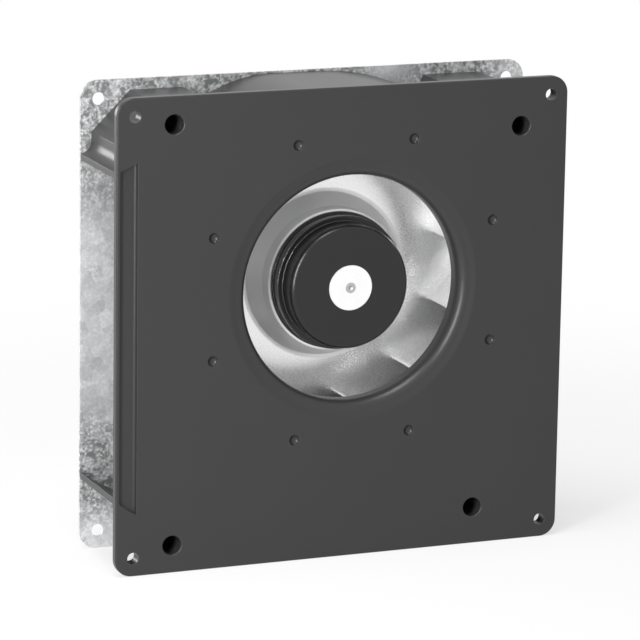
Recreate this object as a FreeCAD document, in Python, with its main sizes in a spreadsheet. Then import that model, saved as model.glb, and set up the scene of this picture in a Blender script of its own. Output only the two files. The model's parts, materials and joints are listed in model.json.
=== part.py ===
"""Centrifugal blower fan in a square housing: moulded front, sheet back, motor and impeller.

Millimetres. X runs to the right and Z up, seen from the inlet side. Y runs from the inlet face to the
rear. The origin is the centre of the four corner holes, on the front face.
"""

import FreeCAD, Part
import Sketcher
import math
import operator
import os

DOC = FreeCAD.newDocument("blower_fan")
SHEET = DOC.addObject("Spreadsheet::Sheet", "Sizes")

# Driving dimensions: alias, value, what it is
DRIVING = [
    ("plate_side", 220.0, "side of the two square plates"),
    ("plate_corner", 8.0, "corner radius of the plates"),
    ("plate_thick", 3.6, "thickness of the moulded front plate"),
    ("plate_edge", 0.8, "rounding of the front plate's outer edge"),
    ("duct_width", 46.2, "clear depth between the two plates"),
    ("sheet_thick", 1.5, "thickness of the back sheet"),
    ("mount_inset", 8.5, "corner holes, in from the plates' edges"),
    ("front_hole", 5.5, "diameter of the front corner holes"),
    ("boss_radius", 5.5, "outside of the boss behind a corner hole"),
    ("boss_height", 3.0, "height of the boss behind a corner hole"),
    ("rear_hole", 6.0, "diameter of the rear corner holes"),
    ("axis_x", 4.9, "impeller axis, right of the plate's centre"),
    ("axis_z", 16.0, "impeller axis, above the plate's centre"),
    ("throat_radius", 52.6, "inlet throat"),
    ("lip_radius", 5.5, "rounding of the inlet lip"),
    ("bell_depth", 10.0, "rear end of the inlet nozzle"),
    ("bell_wall", 1.6, "wall of the inlet nozzle"),
    ("dimple_circle", 74.2, "radius of the ring of dimples"),
    ("dimple_bore", 5.0, "diameter of a dimple"),
    ("dimple_depth", 0.9, "depth of a dimple"),
    ("dimple_count", 8, "number of dimples"),
    ("recess_depth", 2.2, "depth of the recess along the outlet"),
    ("recess_lip", 1.6, "rim left of the recess"),
    ("recess_width", 8.4, "width of the recess"),
    ("recess_round", 1.6, "rounding at the foot of the recess"),
    ("wall_thick", 2.5, "thickness of the duct wall"),
    ("outlet_top_inset", 33.5, "upper edge of the outlet, in from the plate's top edge"),
    ("outlet_bottom_inset", 34.0, "lower edge of the outlet, in from the plate's lower edge"),
    ("roof_slope", 22.3, "slope of the duct's roof at the outlet"),
    ("roof_bend", 60.0, "radius where the roof turns level"),
    ("floor_slope", 35.0, "slope of the duct's floor at the outlet"),
    ("scroll_margin", 0.8, "gap from the top of the scroll to the plate's edge"),
    ("scroll_growth", 20.0, "gain in scroll radius over half a turn"),
    ("scroll_power", 1.5, "how late in the turn the scroll gains its radius"),
    ("scroll_end", 185.0, "angle at which the scroll runs level below"),
    ("block_inset", 5.0, "gap from a corner block to the plate's edge"),
    ("block_corner", 18.5, "cut corner of a corner block"),
    ("block_root", 6.0, "hollow rounding between the upper left block and the roof"),
    ("block_width", 56.0, "width of a corner block, from its well"),
    ("block_lean", 6.4, "slant of the upper left block's inner side"),
    ("block_start_angle", 32.0, "where the upper right block leaves the scroll"),
    ("block_end_angle", 62.0, "where the upper right block meets the scroll again"),
    ("upper_rib_angle", 138.0, "where the upper rib meets the scroll"),
    ("lower_rib_angle", 160.0, "where the lower rib meets the scroll"),
    ("rib_root", 1.2, "how deep a rib or block reaches into the duct wall"),
    ("pillar_radius", 6.4, "outside of a screw pillar"),
    ("well_radius", 4.4, "screw well"),
    ("well_floor", 5.8, "floor under a screw's head"),
    ("well_round", 0.8, "rounding of a well's mouth"),
    ("well_tl_x", 27.1, "upper left well, in from the left edge"),
    ("well_tl_z", 12.8, "upper left well, in from the top edge"),
    ("well_tr_x", 23.3, "upper right well, in from the right edge"),
    ("well_tr_z", 22.4, "upper right well, in from the top edge"),
    ("well_bl_x", 27.3, "lower left well, in from the left edge"),
    ("well_bl_z", 12.9, "lower left well, in from the lower edge"),
    ("well_br_x", 43.4, "lower right well, in from the right edge"),
    ("well_br_z", 17.5, "lower right well, in from the lower edge"),
    ("screw_radius", 2.0, "shank of the housing and flange screws"),
    ("screw_play", 0.2, "radial play of a screw in its hole"),
    ("screw_head", 3.8, "head radius of the housing screws"),
    ("head_height", 2.6, "head height of the housing screws"),
    ("nut_radius", 4.0, "clinch nut"),
    ("nut_play", 0.05, "radial play of a screw in its nut"),
    ("nut_height", 2.4, "height of a clinch nut behind the sheet"),
    ("dish_radius", 50.0, "mouth of the dish in the back sheet"),
    ("dish_depth", 3.2, "depth of that dish"),
    ("flange_radius", 41.0, "outside of the motor flange"),
    ("flange_rim", 3.0, "wall of the flange's rim"),
    ("flange_floor", 2.5, "floor of the flange"),
    ("flange_height", 8.5, "height of the flange"),
    ("flange_circle", 34.0, "radius of the ring of flange screws"),
    ("flange_boss", 3.9, "radius of a flange screw boss"),
    ("flange_head", 3.4, "head radius of the flange screws"),
    ("flange_head_height", 1.5, "head height of the flange screws"),
    ("flange_thread", 6.4, "thread engaged in the flange"),
    ("tube_seat", 13.5, "boss that holds the bearing tube"),
    ("tube_seat_height", 4.6, "height of that boss above the dish"),
    ("tube_radius", 10.5, "outside of the bearing tube"),
    ("tube_front", 9.8, "front end of the bearing tube"),
    ("tube_bottom", 1.0, "metal left behind the bearing tube"),
    ("tube_shoulder", 1.2, "height of the shoulder inside the tube"),
    ("bearing_radius", 8.0, "outside of a ball bearing"),
    ("bearing_width", 5.0, "width of a ball bearing"),
    ("race_thick", 1.5, "wall of a bearing ring"),
    ("race_play", 0.12, "play between the balls and the outer ring"),
    ("ball_radius", 1.2, "bearing ball"),
    ("ball_count", 7, "balls in one bearing"),
    ("front_bearing_y", 10.2, "front face of the front bearing"),
    ("rear_bearing_y", 41.4, "front face of the rear bearing"),
    ("washer_thick", 0.9, "height of the wave washer"),
    ("shaft_radius", 2.5, "motor shaft"),
    ("shaft_rear", 48.6, "rear end of the shaft"),
    ("clip_thick", 0.7, "retaining clip"),
    ("clip_radius", 4.2, "outside of the retaining clip"),
    ("clip_groove", 0.4, "depth of the clip's groove in the shaft"),
    ("shaft_centre", 1.0, "centre mark in the shaft's end"),
    ("shaft_chamfer", 0.5, "chamfer at the shaft's rear end"),
    ("hub_radius", 10.5, "metal hub on the rotor's face"),
    ("hub_proud", 0.5, "how far the hub stands out of the face"),
    ("hub_neck", 6.0, "hub where it passes the rotor's face"),
    ("hub_flange", 8.5, "hub behind the face"),
    ("hub_flange_thick", 2.0, "thickness of the hub behind the face"),
    ("hub_nose", 3.9, "hub where it bears on the front bearing"),
    ("can_face", 4.8, "depth of the rotor's front face"),
    ("can_wall", 1.5, "wall of the rotor can"),
    ("can_bevel", 2.5, "width of the bevel round the rotor's face"),
    ("can_shoulder_y", 7.5, "depth where the face's bevel ends"),
    ("can_step_y", 16.0, "depth of the can's step"),
    ("can_nose_step", 2.3, "gain in radius from the front to the middle stretch of the can"),
    ("collar_y", 23.0, "front edge of the impeller's collar"),
    ("can_seat_step", 0.9, "gain in radius from the middle stretch to the impeller's seat"),
    ("can_seat_radius", 32.2, "stretch of the can that holds the impeller"),
    ("can_mouth", 43.0, "open end of the can"),
    ("magnet_thick", 1.9, "magnet ring"),
    ("magnet_length", 18.0, "length of the magnet ring"),
    ("air_gap", 0.6, "gap between magnets and stator"),
    ("stack_length", 15.6, "length of the laminations"),
    ("stack_yoke", 14.6, "inner yoke of the laminations"),
    ("tooth_count", 9, "stator teeth"),
    ("tooth_width", 5.4, "width of a tooth"),
    ("shoe_thick", 1.9, "thickness of a tooth's shoe"),
    ("shoe_angle", 34.0, "angle that a shoe spans"),
    ("insulator_thick", 0.8, "end insulator"),
    ("coil_side", 2.1, "thickness of a coil's side"),
    ("coil_play", 0.3, "gap from a coil to its tooth"),
    ("coil_inner", 15.6, "inner end of a coil"),
    ("coil_gap", 0.9, "gap from a coil to its tooth's shoe"),
    ("coil_head", 2.4, "coil beyond the insulator"),
    ("board_y", 46.0, "front face of the circuit board"),
    ("board_thick", 1.6, "thickness of the circuit board"),
    ("board_radius", 29.3, "outside of the circuit board"),
    ("board_play", 0.7, "gap from the board to the bearing tube"),
    ("board_circle", 25.0, "radius of the board's screws"),
    ("board_post", 2.6, "posts under the board"),
    ("board_screw", 1.25, "shank of the board's screws"),
    ("board_screw_head", 2.2, "head radius of the board's screws"),
    ("board_screw_rise", 1.4, "head height of the board's screws"),
    ("board_thread", 2.3, "thread engaged in a post"),
    ("chip_side", 6.0, "side of a switching chip"),
    ("chip_height", 1.7, "height of a switching chip"),
    ("pin_radius", 0.45, "coil terminal pins"),
    ("pin_circle", 20.0, "radius of the ring of pins"),
    ("grommet_circle", 21.0, "distance of the lead grommet from the axis"),
    ("grommet_radius", 4.4, "neck of the lead grommet"),
    ("grommet_lip", 1.5, "lips of the grommet, in width and height"),
    ("lead_hole", 2.4, "hole in the grommet"),
    ("disc_y", 38.0, "front face of the impeller's rear disc"),
    ("disc_thick", 1.0, "sheet of the impeller"),
    ("impeller_radius", 80.0, "outside of the impeller"),
    ("collar_cone_y", 31.0, "depth where the collar flares out"),
    ("collar_flare", 6.5, "gain in radius from the collar to its foot on the disc"),
    ("blade_count", 11, "number of blades"),
    ("blade_start_angle", 16.2, "angle of the first blade's inner edge"),
    ("blade_setback", 3.2, "blades' inner edges, behind the shroud's eye"),
    ("blade_margin", 0.7, "blades' outer edges, in from the impeller's rim"),
    ("blade_in_angle", 25.0, "blade angle at the inner edge, from the tangent"),
    ("blade_out_angle", 38.0, "blade angle at the outer edge, from the tangent"),
    ("blade_thick", 1.2, "thickness of a blade"),
    ("nozzle_play", 1.0, "running gap between nozzle and shroud"),
    ("shroud_front", 9.0, "front edge of the shroud"),
    ("shroud_bend_y", 12.0, "depth where the shroud starts to flare"),
    ("shroud_bend", 5.0, "radius of the shroud's flare"),
    ("shroud_rim_y", 19.5, "depth of the shroud at its rim"),
]

OPERATIONS = {
    "+": operator.add,
    "-": operator.sub,
    "*": operator.mul,
    "/": operator.truediv,
}


class Size:
    """A number together with the sheet expression that gives it."""

    def __init__(self, value, text):
        self.value = float(value)
        self.text = text

    def joined(self, sign, first, second):
        first, second = as_size(first), as_size(second)
        value = OPERATIONS[sign](first.value, second.value)
        return Size(value, f"({first.text} {sign} {second.text})")

    def __add__(self, other):
        return self.joined("+", self, other)

    def __radd__(self, other):
        return self.joined("+", other, self)

    def __sub__(self, other):
        return self.joined("-", self, other)

    def __rsub__(self, other):
        return self.joined("-", other, self)

    def __mul__(self, other):
        return self.joined("*", self, other)

    def __rmul__(self, other):
        return self.joined("*", other, self)

    def __truediv__(self, other):
        return self.joined("/", self, other)

    def __rtruediv__(self, other):
        return self.joined("/", other, self)

    def __neg__(self):
        return self.joined("-", 0, self)


def as_size(number):
    return number if isinstance(number, Size) else Size(number, repr(number))


def sine(angle):
    angle = as_size(angle)
    return Size(math.sin(math.radians(angle.value)), f"sin({angle.text})")


def cosine(angle):
    angle = as_size(angle)
    return Size(math.cos(math.radians(angle.value)), f"cos({angle.text})")


def tangent(angle):
    return sine(angle) / cosine(angle)


def arc_cosine(ratio):
    return Size(math.degrees(math.acos(ratio.value)), f"(acos({ratio.text}) / 1 deg)")


def root(square):
    return Size(math.sqrt(square.value), f"sqrt({square.text})")


def fill_sheet():
    """Writes the driving dimensions to the sheet and returns them by name."""
    named = {}
    for row, (alias, value, meaning) in enumerate(DRIVING, start=1):
        SHEET.set(f"A{row}", meaning)
        SHEET.set(f"B{row}", repr(value))
        SHEET.setAlias(f"B{row}", alias)
        named[alias] = Size(value, f"Sizes.{alias}")
    DOC.recompute()
    return named


D = fill_sheet()


def bind(thing, prop, size):
    """Ties a property to an expression on the sheet."""
    thing.setExpression(prop, as_size(size).text)


def place(thing, x=0, y=0, z=0, angle=None):
    """Ties a thing's place to the sheet; angle turns it about Y."""
    for axis, value in zip("xyz", (x, y, z)):
        bind(thing, f"Placement.Base.{axis}", value)
    if angle is not None:
        turn = thing.Placement
        turn.Rotation = FreeCAD.Rotation(FreeCAD.Vector(0, 1, 0), 1)
        thing.Placement = turn
        bind(thing, "Placement.Rotation.Angle", angle)
    return thing


def on_axis(thing, angle=None):
    """Centres a thing that was made about Y on the impeller's axis."""
    return place(thing, D["axis_x"], 0, D["axis_z"], angle)


# Sketches

def new_body(name):
    body = DOC.addObject("PartDesign::Body", name)
    body.Label = name
    return body


def new_sketch(body, name, role, offset=None):
    """A sketch on one of the body's origin planes; offset moves it in its own frame."""
    sketch = body.newObject("Sketcher::SketchObject", name)
    plane = [p for p in body.Origin.OriginFeatures if p.Role == role][0]
    sketch.AttachmentSupport = [(plane, "")]
    sketch.MapMode = "FlatFace"
    for axis, distance in (offset or {}).items():
        bind(sketch, f"AttachmentOffset.Base.{axis}", distance)
    return sketch


def front_sketch(body, name, depth=0):
    """A sketch seen from the inlet side, X to the right and Z up, at a depth along +Y."""
    return new_sketch(body, name, "XZ_Plane", {"z": -as_size(depth)})


def dimension(sketch, kind, *terms):
    """Adds one constraint whose value follows the sheet."""
    *where, size = terms
    size = as_size(size)
    index = sketch.addConstraint(Sketcher.Constraint(kind, *where, size.value))
    bind(sketch, f"Constraints[{index}]", size)


def arc_between(start, end, radius, side):
    """The short arc from start to end; side 1 turns left and -1 turns right."""
    chord = end - start
    half = chord.Length / 2
    rise = math.sqrt(max(radius * radius - half * half, 0.0))
    normal = FreeCAD.Vector(-chord.y, chord.x, 0).normalize() * side
    centre = (start + end) * 0.5 + normal * rise
    first, last = (start, end) if side > 0 else (end, start)
    angles = [math.atan2(p.y - centre.y, p.x - centre.x) for p in (first, last)]
    circle = Part.Circle(centre, FreeCAD.Vector(0, 0, 1), radius)
    return Part.ArcOfCircle(circle, *angles)


def outline(sketch, corners):
    """A closed outline through corners (x, y) or (x, y, radius, side), where radius makes the edge
    that arrives at the corner an arc."""
    count = len(corners)
    points = [FreeCAD.Vector(as_size(c[0]).value, as_size(c[1]).value, 0) for c in corners]
    edges = []
    for i in range(count):
        start, end = points[i - 1], points[i]
        if len(corners[i]) == 4:
            radius, side = corners[i][2:]
            edge = sketch.addGeometry(arc_between(start, end, as_size(radius).value, side))
            edges.append((edge, 1 if side > 0 else 2, 2 if side > 0 else 1))
            dimension(sketch, "Radius", edge, radius)
        else:
            edges.append((sketch.addGeometry(Part.LineSegment(start, end)), 1, 2))
    for i in range(count):
        edge, _, tail = edges[i]
        following, head, _ = edges[(i + 1) % count]
        sketch.addConstraint(Sketcher.Constraint("Coincident", edge, tail, following, head))
        dimension(sketch, "DistanceX", edge, tail, corners[i][0])
        dimension(sketch, "DistanceY", edge, tail, corners[i][1])


def circle(sketch, x, y, radius):
    centre = FreeCAD.Vector(as_size(x).value, as_size(y).value, 0)
    normal = FreeCAD.Vector(0, 0, 1)
    edge = sketch.addGeometry(Part.Circle(centre, normal, as_size(radius).value))
    dimension(sketch, "DistanceX", edge, 3, x)
    dimension(sketch, "DistanceY", edge, 3, y)
    dimension(sketch, "Radius", edge, radius)


def square_corners(half):
    return [(-half, -half), (half, -half), (half, half), (-half, half)]


# Features

def padded(body, name, sketch, length):
    """Adds material from the sketch towards +Y."""
    pad = body.newObject("PartDesign::Pad", name)
    pad.Profile = sketch
    pad.Reversed = True
    bind(pad, "Length", length)
    DOC.recompute()
    return pad


def pocketed(body, name, sketch, length=None):
    """Removes material from the sketch towards +Y, by default right through."""
    before = body.Shape.Volume
    pocket = body.newObject("PartDesign::Pocket", name)
    pocket.Profile = sketch
    if length is None:
        pocket.Type = "ThroughAll"
        pocket.Midplane = True
    else:
        bind(pocket, "Length", length)
    DOC.recompute()
    if body.Shape.Volume >= before:
        raise RuntimeError(f"{name} cuts nothing")
    return pocket


def turned(body, name, corners, angle=360, kind="PartDesign::Revolution", centre=None):
    """Adds or removes a solid of revolution about Y, from a profile of radius and depth."""
    sketch = new_sketch(body, name + "_profile", "XY_Plane", centre)
    outline(sketch, corners)
    turn = body.newObject(kind, name)
    turn.Profile = sketch
    turn.ReferenceAxis = (sketch, ["V_Axis"])
    turn.Midplane = True
    bind(turn, "Angle", angle)
    DOC.recompute()
    return turn


def around(body, name, originals, count):
    """Repeats features about the body's Y axis."""
    pattern = body.newObject("PartDesign::PolarPattern", name)
    pattern.Originals = originals
    axis = [p for p in body.Origin.OriginFeatures if p.Role == "Y_Axis"][0]
    pattern.Axis = (axis, [""])
    pattern.Angle = 360
    bind(pattern, "Occurrences", count)
    body.Tip = pattern
    DOC.recompute()
    return pattern


def rounded(body, name, base, radius, wanted):
    """Rounds the edges of base whose middle point passes the test wanted."""
    edges = []
    for number, edge in enumerate(base.Shape.Edges, start=1):
        middle = edge.valueAt((edge.FirstParameter + edge.LastParameter) / 2)
        if wanted(edge, middle):
            edges.append(f"Edge{number}")
    if not edges:
        raise RuntimeError(f"{name} finds no edge")
    fillet = body.newObject("PartDesign::Fillet", name)
    fillet.Base = (base, edges)
    bind(fillet, "Radius", radius)
    DOC.recompute()
    return fillet


def near(a, b):
    return abs(a - as_size(b).value) < 0.01


def ring(name, corners):
    """A turned piece on the impeller's axis."""
    body = new_body(name)
    turned(body, name + "_turned", corners)
    return on_axis(body)


# Primitives and booleans

# Shapes of a pan head, as shares of its height and radius
DOME_SHARE = 0.4
CROSS_WIDTH = 0.32
CROSS_LENGTH = 1.2
CROSS_DEPTH = 0.5


def rod(name, radius, start, length, x=0, z=0):
    """A cylinder along Y."""
    cylinder = DOC.addObject("Part::Cylinder", name)
    cylinder.Placement = FreeCAD.Placement(
        FreeCAD.Vector(0, 0, 0), FreeCAD.Rotation(FreeCAD.Vector(1, 0, 0), -90)
    )
    bind(cylinder, "Radius", radius)
    bind(cylinder, "Height", length)
    place(cylinder, x, start, z)
    return cylinder


def block(name, x, y, z, width, depth, height):
    """A box from its lowest corner."""
    box = DOC.addObject("Part::Box", name)
    bind(box, "Length", width)
    bind(box, "Width", depth)
    bind(box, "Height", height)
    return place(box, x, y, z)


def fused(name, pieces):
    union = DOC.addObject("Part::MultiFuse", name)
    union.Shapes = pieces
    return union


def without(name, base, tool):
    cut = DOC.addObject("Part::Cut", name)
    cut.Base = base
    cut.Tool = tool
    return cut


def group(name, pieces):
    """Several separate solids under one name."""
    compound = DOC.addObject("Part::Compound", name)
    compound.Label = name
    compound.Links = pieces
    return compound


def copy_of(name, piece):
    return group(name, [piece])


def spread(name, make, count, angle=0):
    """Copies of one piece, evenly around the impeller's axis."""
    copies = []
    for i in range(int(count.value)):
        copy = copy_of(f"{name}_{i + 1}", make)
        copies.append(on_axis(copy, angle + 360 * i / count))
    return copies


def pan_screw(name, shank, length, head, height, flip=False):
    """A screw along Y with the underside of its head at the origin, its head towards -Y."""
    body = new_body(name)
    dome = height * DOME_SHARE
    turned(
        body,
        name + "_turned",
        [
            (0, -height),
            (head - dome, -height),
            (head, dome - height, dome, 1),
            (head, 0),
            (shank, 0),
            (shank, length - shank / 2),
            (shank / 2, length),
            (0, length),
        ],
    )
    drive = front_sketch(body, name + "_drive", -height)
    slot = head * CROSS_WIDTH / 2
    arm = head * CROSS_LENGTH / 2
    outline(
        drive,
        [
            (-slot, -arm), (slot, -arm), (slot, -slot), (arm, -slot), (arm, slot), (slot, slot),
            (slot, arm), (-slot, arm), (-slot, slot), (-arm, slot), (-arm, -slot), (-slot, -slot),
        ],
    )
    pocketed(body, name + "_cross", drive, height * CROSS_DEPTH)
    if flip:
        half_turn = FreeCAD.Rotation(FreeCAD.Vector(0, 0, 1), 180)
        body.Placement = FreeCAD.Placement(FreeCAD.Vector(0, 0, 0), half_turn)
    return body


HALF_SIDE = D["plate_side"] / 2
HALF_PITCH = HALF_SIDE - D["mount_inset"]
WELLS = {
    "upper_left": (D["well_tl_x"] - HALF_SIDE, HALF_SIDE - D["well_tl_z"]),
    "upper_right": (HALF_SIDE - D["well_tr_x"], HALF_SIDE - D["well_tr_z"]),
    "lower_left": (D["well_bl_x"] - HALF_SIDE, D["well_bl_z"] - HALF_SIDE),
    "lower_right": (HALF_SIDE - D["well_br_x"], D["well_br_z"] - HALF_SIDE),
}
BACK_Y = D["plate_thick"] + D["duct_width"]
REAR_Y = BACK_Y + D["sheet_thick"]
DISH_Y = BACK_Y + D["dish_depth"]
FLANGE_FLOOR_Y = DISH_Y - D["flange_floor"]
WELL_FLOOR_Y = BACK_Y - D["well_floor"]
SCROLL_TOP_Z = HALF_SIDE - D["scroll_margin"]
SCROLL_START = SCROLL_TOP_Z - D["axis_z"]
OUTLET_TOP_Z = HALF_SIDE - D["outlet_top_inset"]
OUTLET_BOTTOM_Z = D["outlet_bottom_inset"] - HALF_SIDE


def rounded_square(half, corner):
    """The plates' outline, with arcs at its corners."""
    flat = half - corner
    return [
        (-flat, -half, corner, 1),
        (flat, -half),
        (half, -flat, corner, 1),
        (half, flat),
        (flat, half, corner, 1),
        (-flat, half),
        (-half, flat, corner, 1),
        (-half, -flat),
    ]


def on_roof(x):
    """Height of the duct roof's outer surface on its straight stretch."""
    return OUTLET_TOP_Z + (x + HALF_SIDE) * tangent(D["roof_slope"])


# Front housing: one moulding, kept as two nodes that meet at the plate's rear face

def front_housing():
    """The plate with its inlet nozzle, holes, dimples and recess."""
    body = new_body("front_housing")
    face = front_sketch(body, "plate_outline")
    outline(face, rounded_square(HALF_SIDE, D["plate_corner"]))
    plate = padded(body, "plate", face, D["plate_thick"])

    def on_front_rim(edge, middle):
        flat = (HALF_SIDE - D["plate_corner"]).value
        return near(middle.y, 0) and max(abs(middle.x), abs(middle.z)) > flat

    rounded(body, "plate_round", plate, D["plate_edge"], on_front_rim)
    nozzle = D["throat_radius"] + D["bell_wall"]
    hub = D["throat_radius"] / 2
    axis = {"x": D["axis_x"], "z": D["axis_z"]}
    tube = [
        (hub, D["plate_thick"] / 2),
        (nozzle, D["plate_thick"] / 2),
        (nozzle, D["bell_depth"]),
        (hub, D["bell_depth"]),
    ]
    turned(body, "nozzle", tube, centre=axis)
    throat = front_sketch(body, "throat_circle")
    circle(throat, D["axis_x"], D["axis_z"], D["throat_radius"])
    bore = pocketed(body, "throat", throat)

    def on_throat_lip(edge, middle):
        round_edge = isinstance(edge.Curve, Part.Circle)
        return near(middle.y, 0) and round_edge and near(edge.Curve.Radius, D["throat_radius"])

    rounded(body, "lip", bore, D["lip_radius"], on_throat_lip)
    bosses = front_sketch(body, "boss_circles", D["plate_thick"])
    for x, z in square_corners(HALF_PITCH):
        circle(bosses, x, z, D["boss_radius"])
    padded(body, "corner_bosses", bosses, D["boss_height"])
    corners = front_sketch(body, "corner_circles")
    for x, z in square_corners(HALF_PITCH):
        circle(corners, x, z, D["front_hole"] / 2)
    pocketed(body, "corner_holes", corners)
    wells = front_sketch(body, "well_circles")
    for x, z in WELLS.values():
        circle(wells, x, z, D["well_radius"])
    mouths = pocketed(body, "well_mouths", wells)

    def on_well_rim(edge, middle):
        round_edge = isinstance(edge.Curve, Part.Circle)
        return near(middle.y, 0) and round_edge and near(edge.Curve.Radius, D["well_radius"])

    rounded(body, "well_rounds", mouths, D["well_round"], on_well_rim)
    dimples = front_sketch(body, "dimple_circles")
    for i in range(int(D["dimple_count"].value)):
        angle = 360 * (i + as_size(0.5)) / D["dimple_count"]
        x = D["axis_x"] + D["dimple_circle"] * cosine(angle)
        z = D["axis_z"] + D["dimple_circle"] * sine(angle)
        circle(dimples, x, z, D["dimple_bore"] / 2)
    pocketed(body, "dimples", dimples, D["dimple_depth"])
    left = D["recess_lip"] - HALF_SIDE
    right = left + D["recess_width"]
    wall_middle = D["wall_thick"] / 2 / cosine(D["floor_slope"])
    fall = tangent(D["floor_slope"])
    foot = [wall_middle + OUTLET_BOTTOM_Z - (x + HALF_SIDE) * fall for x in (left, right)]
    recess = front_sketch(body, "recess_outline")
    ends = [(left, foot[0]), (right, foot[1]), (right, on_roof(right)), (left, on_roof(left))]
    outline(recess, ends)
    hollow = pocketed(body, "recess", recess, D["recess_depth"])

    def on_recess_foot(edge, middle):
        return near(middle.y, D["recess_depth"]) and near(middle.x, right)

    rounded(body, "recess_foot", hollow, D["recess_round"], on_recess_foot)
    return body


def flat_point(x, z):
    return FreeCAD.Vector(x, 0, z)


def line(start, end):
    return Part.LineSegment(start, end).toShape()


def arc_through(start, middle, end):
    return Part.Arc(start, middle, end).toShape()


# Points that the scroll's curve runs through, less one
SCROLL_SPANS = 12


def duct_side(inset):
    """One surface of the duct wall from the outlet's upper edge round to its lower edge, moved
    towards the air by inset: its edges and its two end points."""
    value = {name: size.value for name, size in D.items()}
    left = -HALF_SIDE.value
    axis_x, axis_z = value["axis_x"], value["axis_z"]
    slope = math.radians(value["roof_slope"])
    top = SCROLL_TOP_Z.value
    outlet_bottom = OUTLET_BOTTOM_Z.value
    bend = value["roof_bend"]
    corner_x = left + (top - OUTLET_TOP_Z.value) / math.tan(slope)
    reach = bend * math.tan(slope / 2)
    bend_x = corner_x + reach
    bend_z = top - bend

    def on_bend(angle):
        radius = bend - inset
        return flat_point(bend_x - radius * math.sin(angle), bend_z + radius * math.cos(angle))

    roof_end = on_bend(slope)
    roof_start_z = roof_end.z - (roof_end.x - left) * math.tan(slope)
    roof_start = flat_point(left, roof_start_z)

    def on_scroll(share):
        turn = value["scroll_end"] * share
        gain = value["scroll_growth"] * (turn / 180) ** value["scroll_power"]
        radius = SCROLL_START.value + gain - inset
        angle = math.radians(turn)
        return flat_point(axis_x + radius * math.sin(angle), axis_z + radius * math.cos(angle))

    spiral = [on_scroll(i / SCROLL_SPANS) for i in range(SCROLL_SPANS + 1)]
    level_start = FreeCAD.Vector(1, 0, 0)
    level_end = FreeCAD.Vector(-1, 0, 0)
    curve = Part.BSplineCurve()
    curve.interpolate(Points=spiral, InitialTangent=level_start, FinalTangent=level_end)
    bottom = on_scroll(1)
    fall = math.radians(value["floor_slope"])
    low = bottom.z - inset
    sweep = (outlet_bottom - low) / (1 - math.cos(fall))
    start_x = left + sweep * math.sin(fall)
    radius = sweep - inset
    level = flat_point(start_x, low + inset)
    last_angle = math.asin((start_x - left) / radius)

    def on_floor(angle):
        return flat_point(start_x - radius * math.sin(angle), low + sweep - radius * math.cos(angle))

    edges = [
        line(roof_start, roof_end),
        arc_through(roof_end, on_bend(slope / 2), on_bend(0)),
        line(on_bend(0), spiral[0]),
        curve.toShape(),
        line(bottom, level),
        arc_through(level, on_floor(last_angle / 2), on_floor(last_angle)),
    ]
    return edges, roof_start, on_floor(last_angle)


def duct_face():
    """The duct wall's section: the two surfaces joined at the outlet's edges."""
    outer, outer_start, outer_end = duct_side(0)
    inner, inner_start, inner_end = duct_side(D["wall_thick"].value)
    edges = outer + [line(outer_end, inner_end)] + inner + [line(inner_start, outer_start)]
    return Part.Face(Part.Wire(Part.__sortEdges__(edges)))


def standing(name, face):
    """A wall from the front plate to the back sheet."""
    section = DOC.addObject("Part::Feature", name + "_section")
    section.Shape = face
    place(section, 0, D["plate_thick"], 0)
    wall = DOC.addObject("Part::Extrusion", name)
    wall.Base = section
    wall.DirMode = "Custom"
    wall.Dir = FreeCAD.Vector(0, 1, 0)
    wall.Solid = True
    bind(wall, "LengthFwd", D["duct_width"])
    return wall


def strip_face(points, thickness):
    """A strip of even thickness on the right-hand side of a bent line."""
    points = [FreeCAD.Vector(as_size(x).value, 0, as_size(z).value) for x, z in points]
    offset = []
    for i, point in enumerate(points):
        before = points[i] - points[i - 1] if i else points[1] - points[0]
        after = points[i + 1] - points[i] if i + 1 < len(points) else before
        normals = [FreeCAD.Vector(d.z, 0, -d.x).normalize() for d in (before, after)]
        mitre = (normals[0] + normals[1]).normalize()
        offset.append(point + mitre * (thickness / mitre.dot(normals[0])))
    loop = points + offset[::-1]
    return Part.Face(Part.makePolygon(loop + loop[:1]))


def into_scroll(angle):
    """A point inside the duct wall's thickness, by its angle from the top of the scroll."""
    turn = as_size(angle)
    gain = D["scroll_growth"] * as_size((turn.value / 180) ** D["scroll_power"].value)
    radius = SCROLL_START + gain - D["rib_root"]
    return D["axis_x"] + radius * sine(turn), D["axis_z"] + radius * cosine(turn)


def corner_blocks():
    """Boxed corners at the top, open towards the duct wall, which stiffen the screw pillars."""
    edge = HALF_SIDE - D["block_inset"]
    cut = edge - D["block_corner"]
    thick = D["wall_thick"].value
    half_width = D["block_width"] / 2
    left, _ = WELLS["upper_left"]
    right, _ = WELLS["upper_right"]
    foot = left + half_width
    upper_left = [
        (-edge, on_roof(-edge) - D["rib_root"]),
        (-edge, cut),
        (-cut, edge),
        (foot - D["block_lean"], edge),
        (foot, on_roof(foot) - D["rib_root"]),
    ]
    upper_right = [
        into_scroll(D["block_start_angle"]),
        (right - half_width, edge),
        (cut, edge),
        (edge, cut),
        (edge, into_scroll(D["block_end_angle"])[1]),
        into_scroll(D["block_end_angle"]),
    ]
    return [
        standing("upper_left_block", strip_face(upper_left, thick)),
        standing("upper_right_block", strip_face(upper_right, thick)),
        standing("upper_left_root", root_face(-edge)),
    ]


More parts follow.
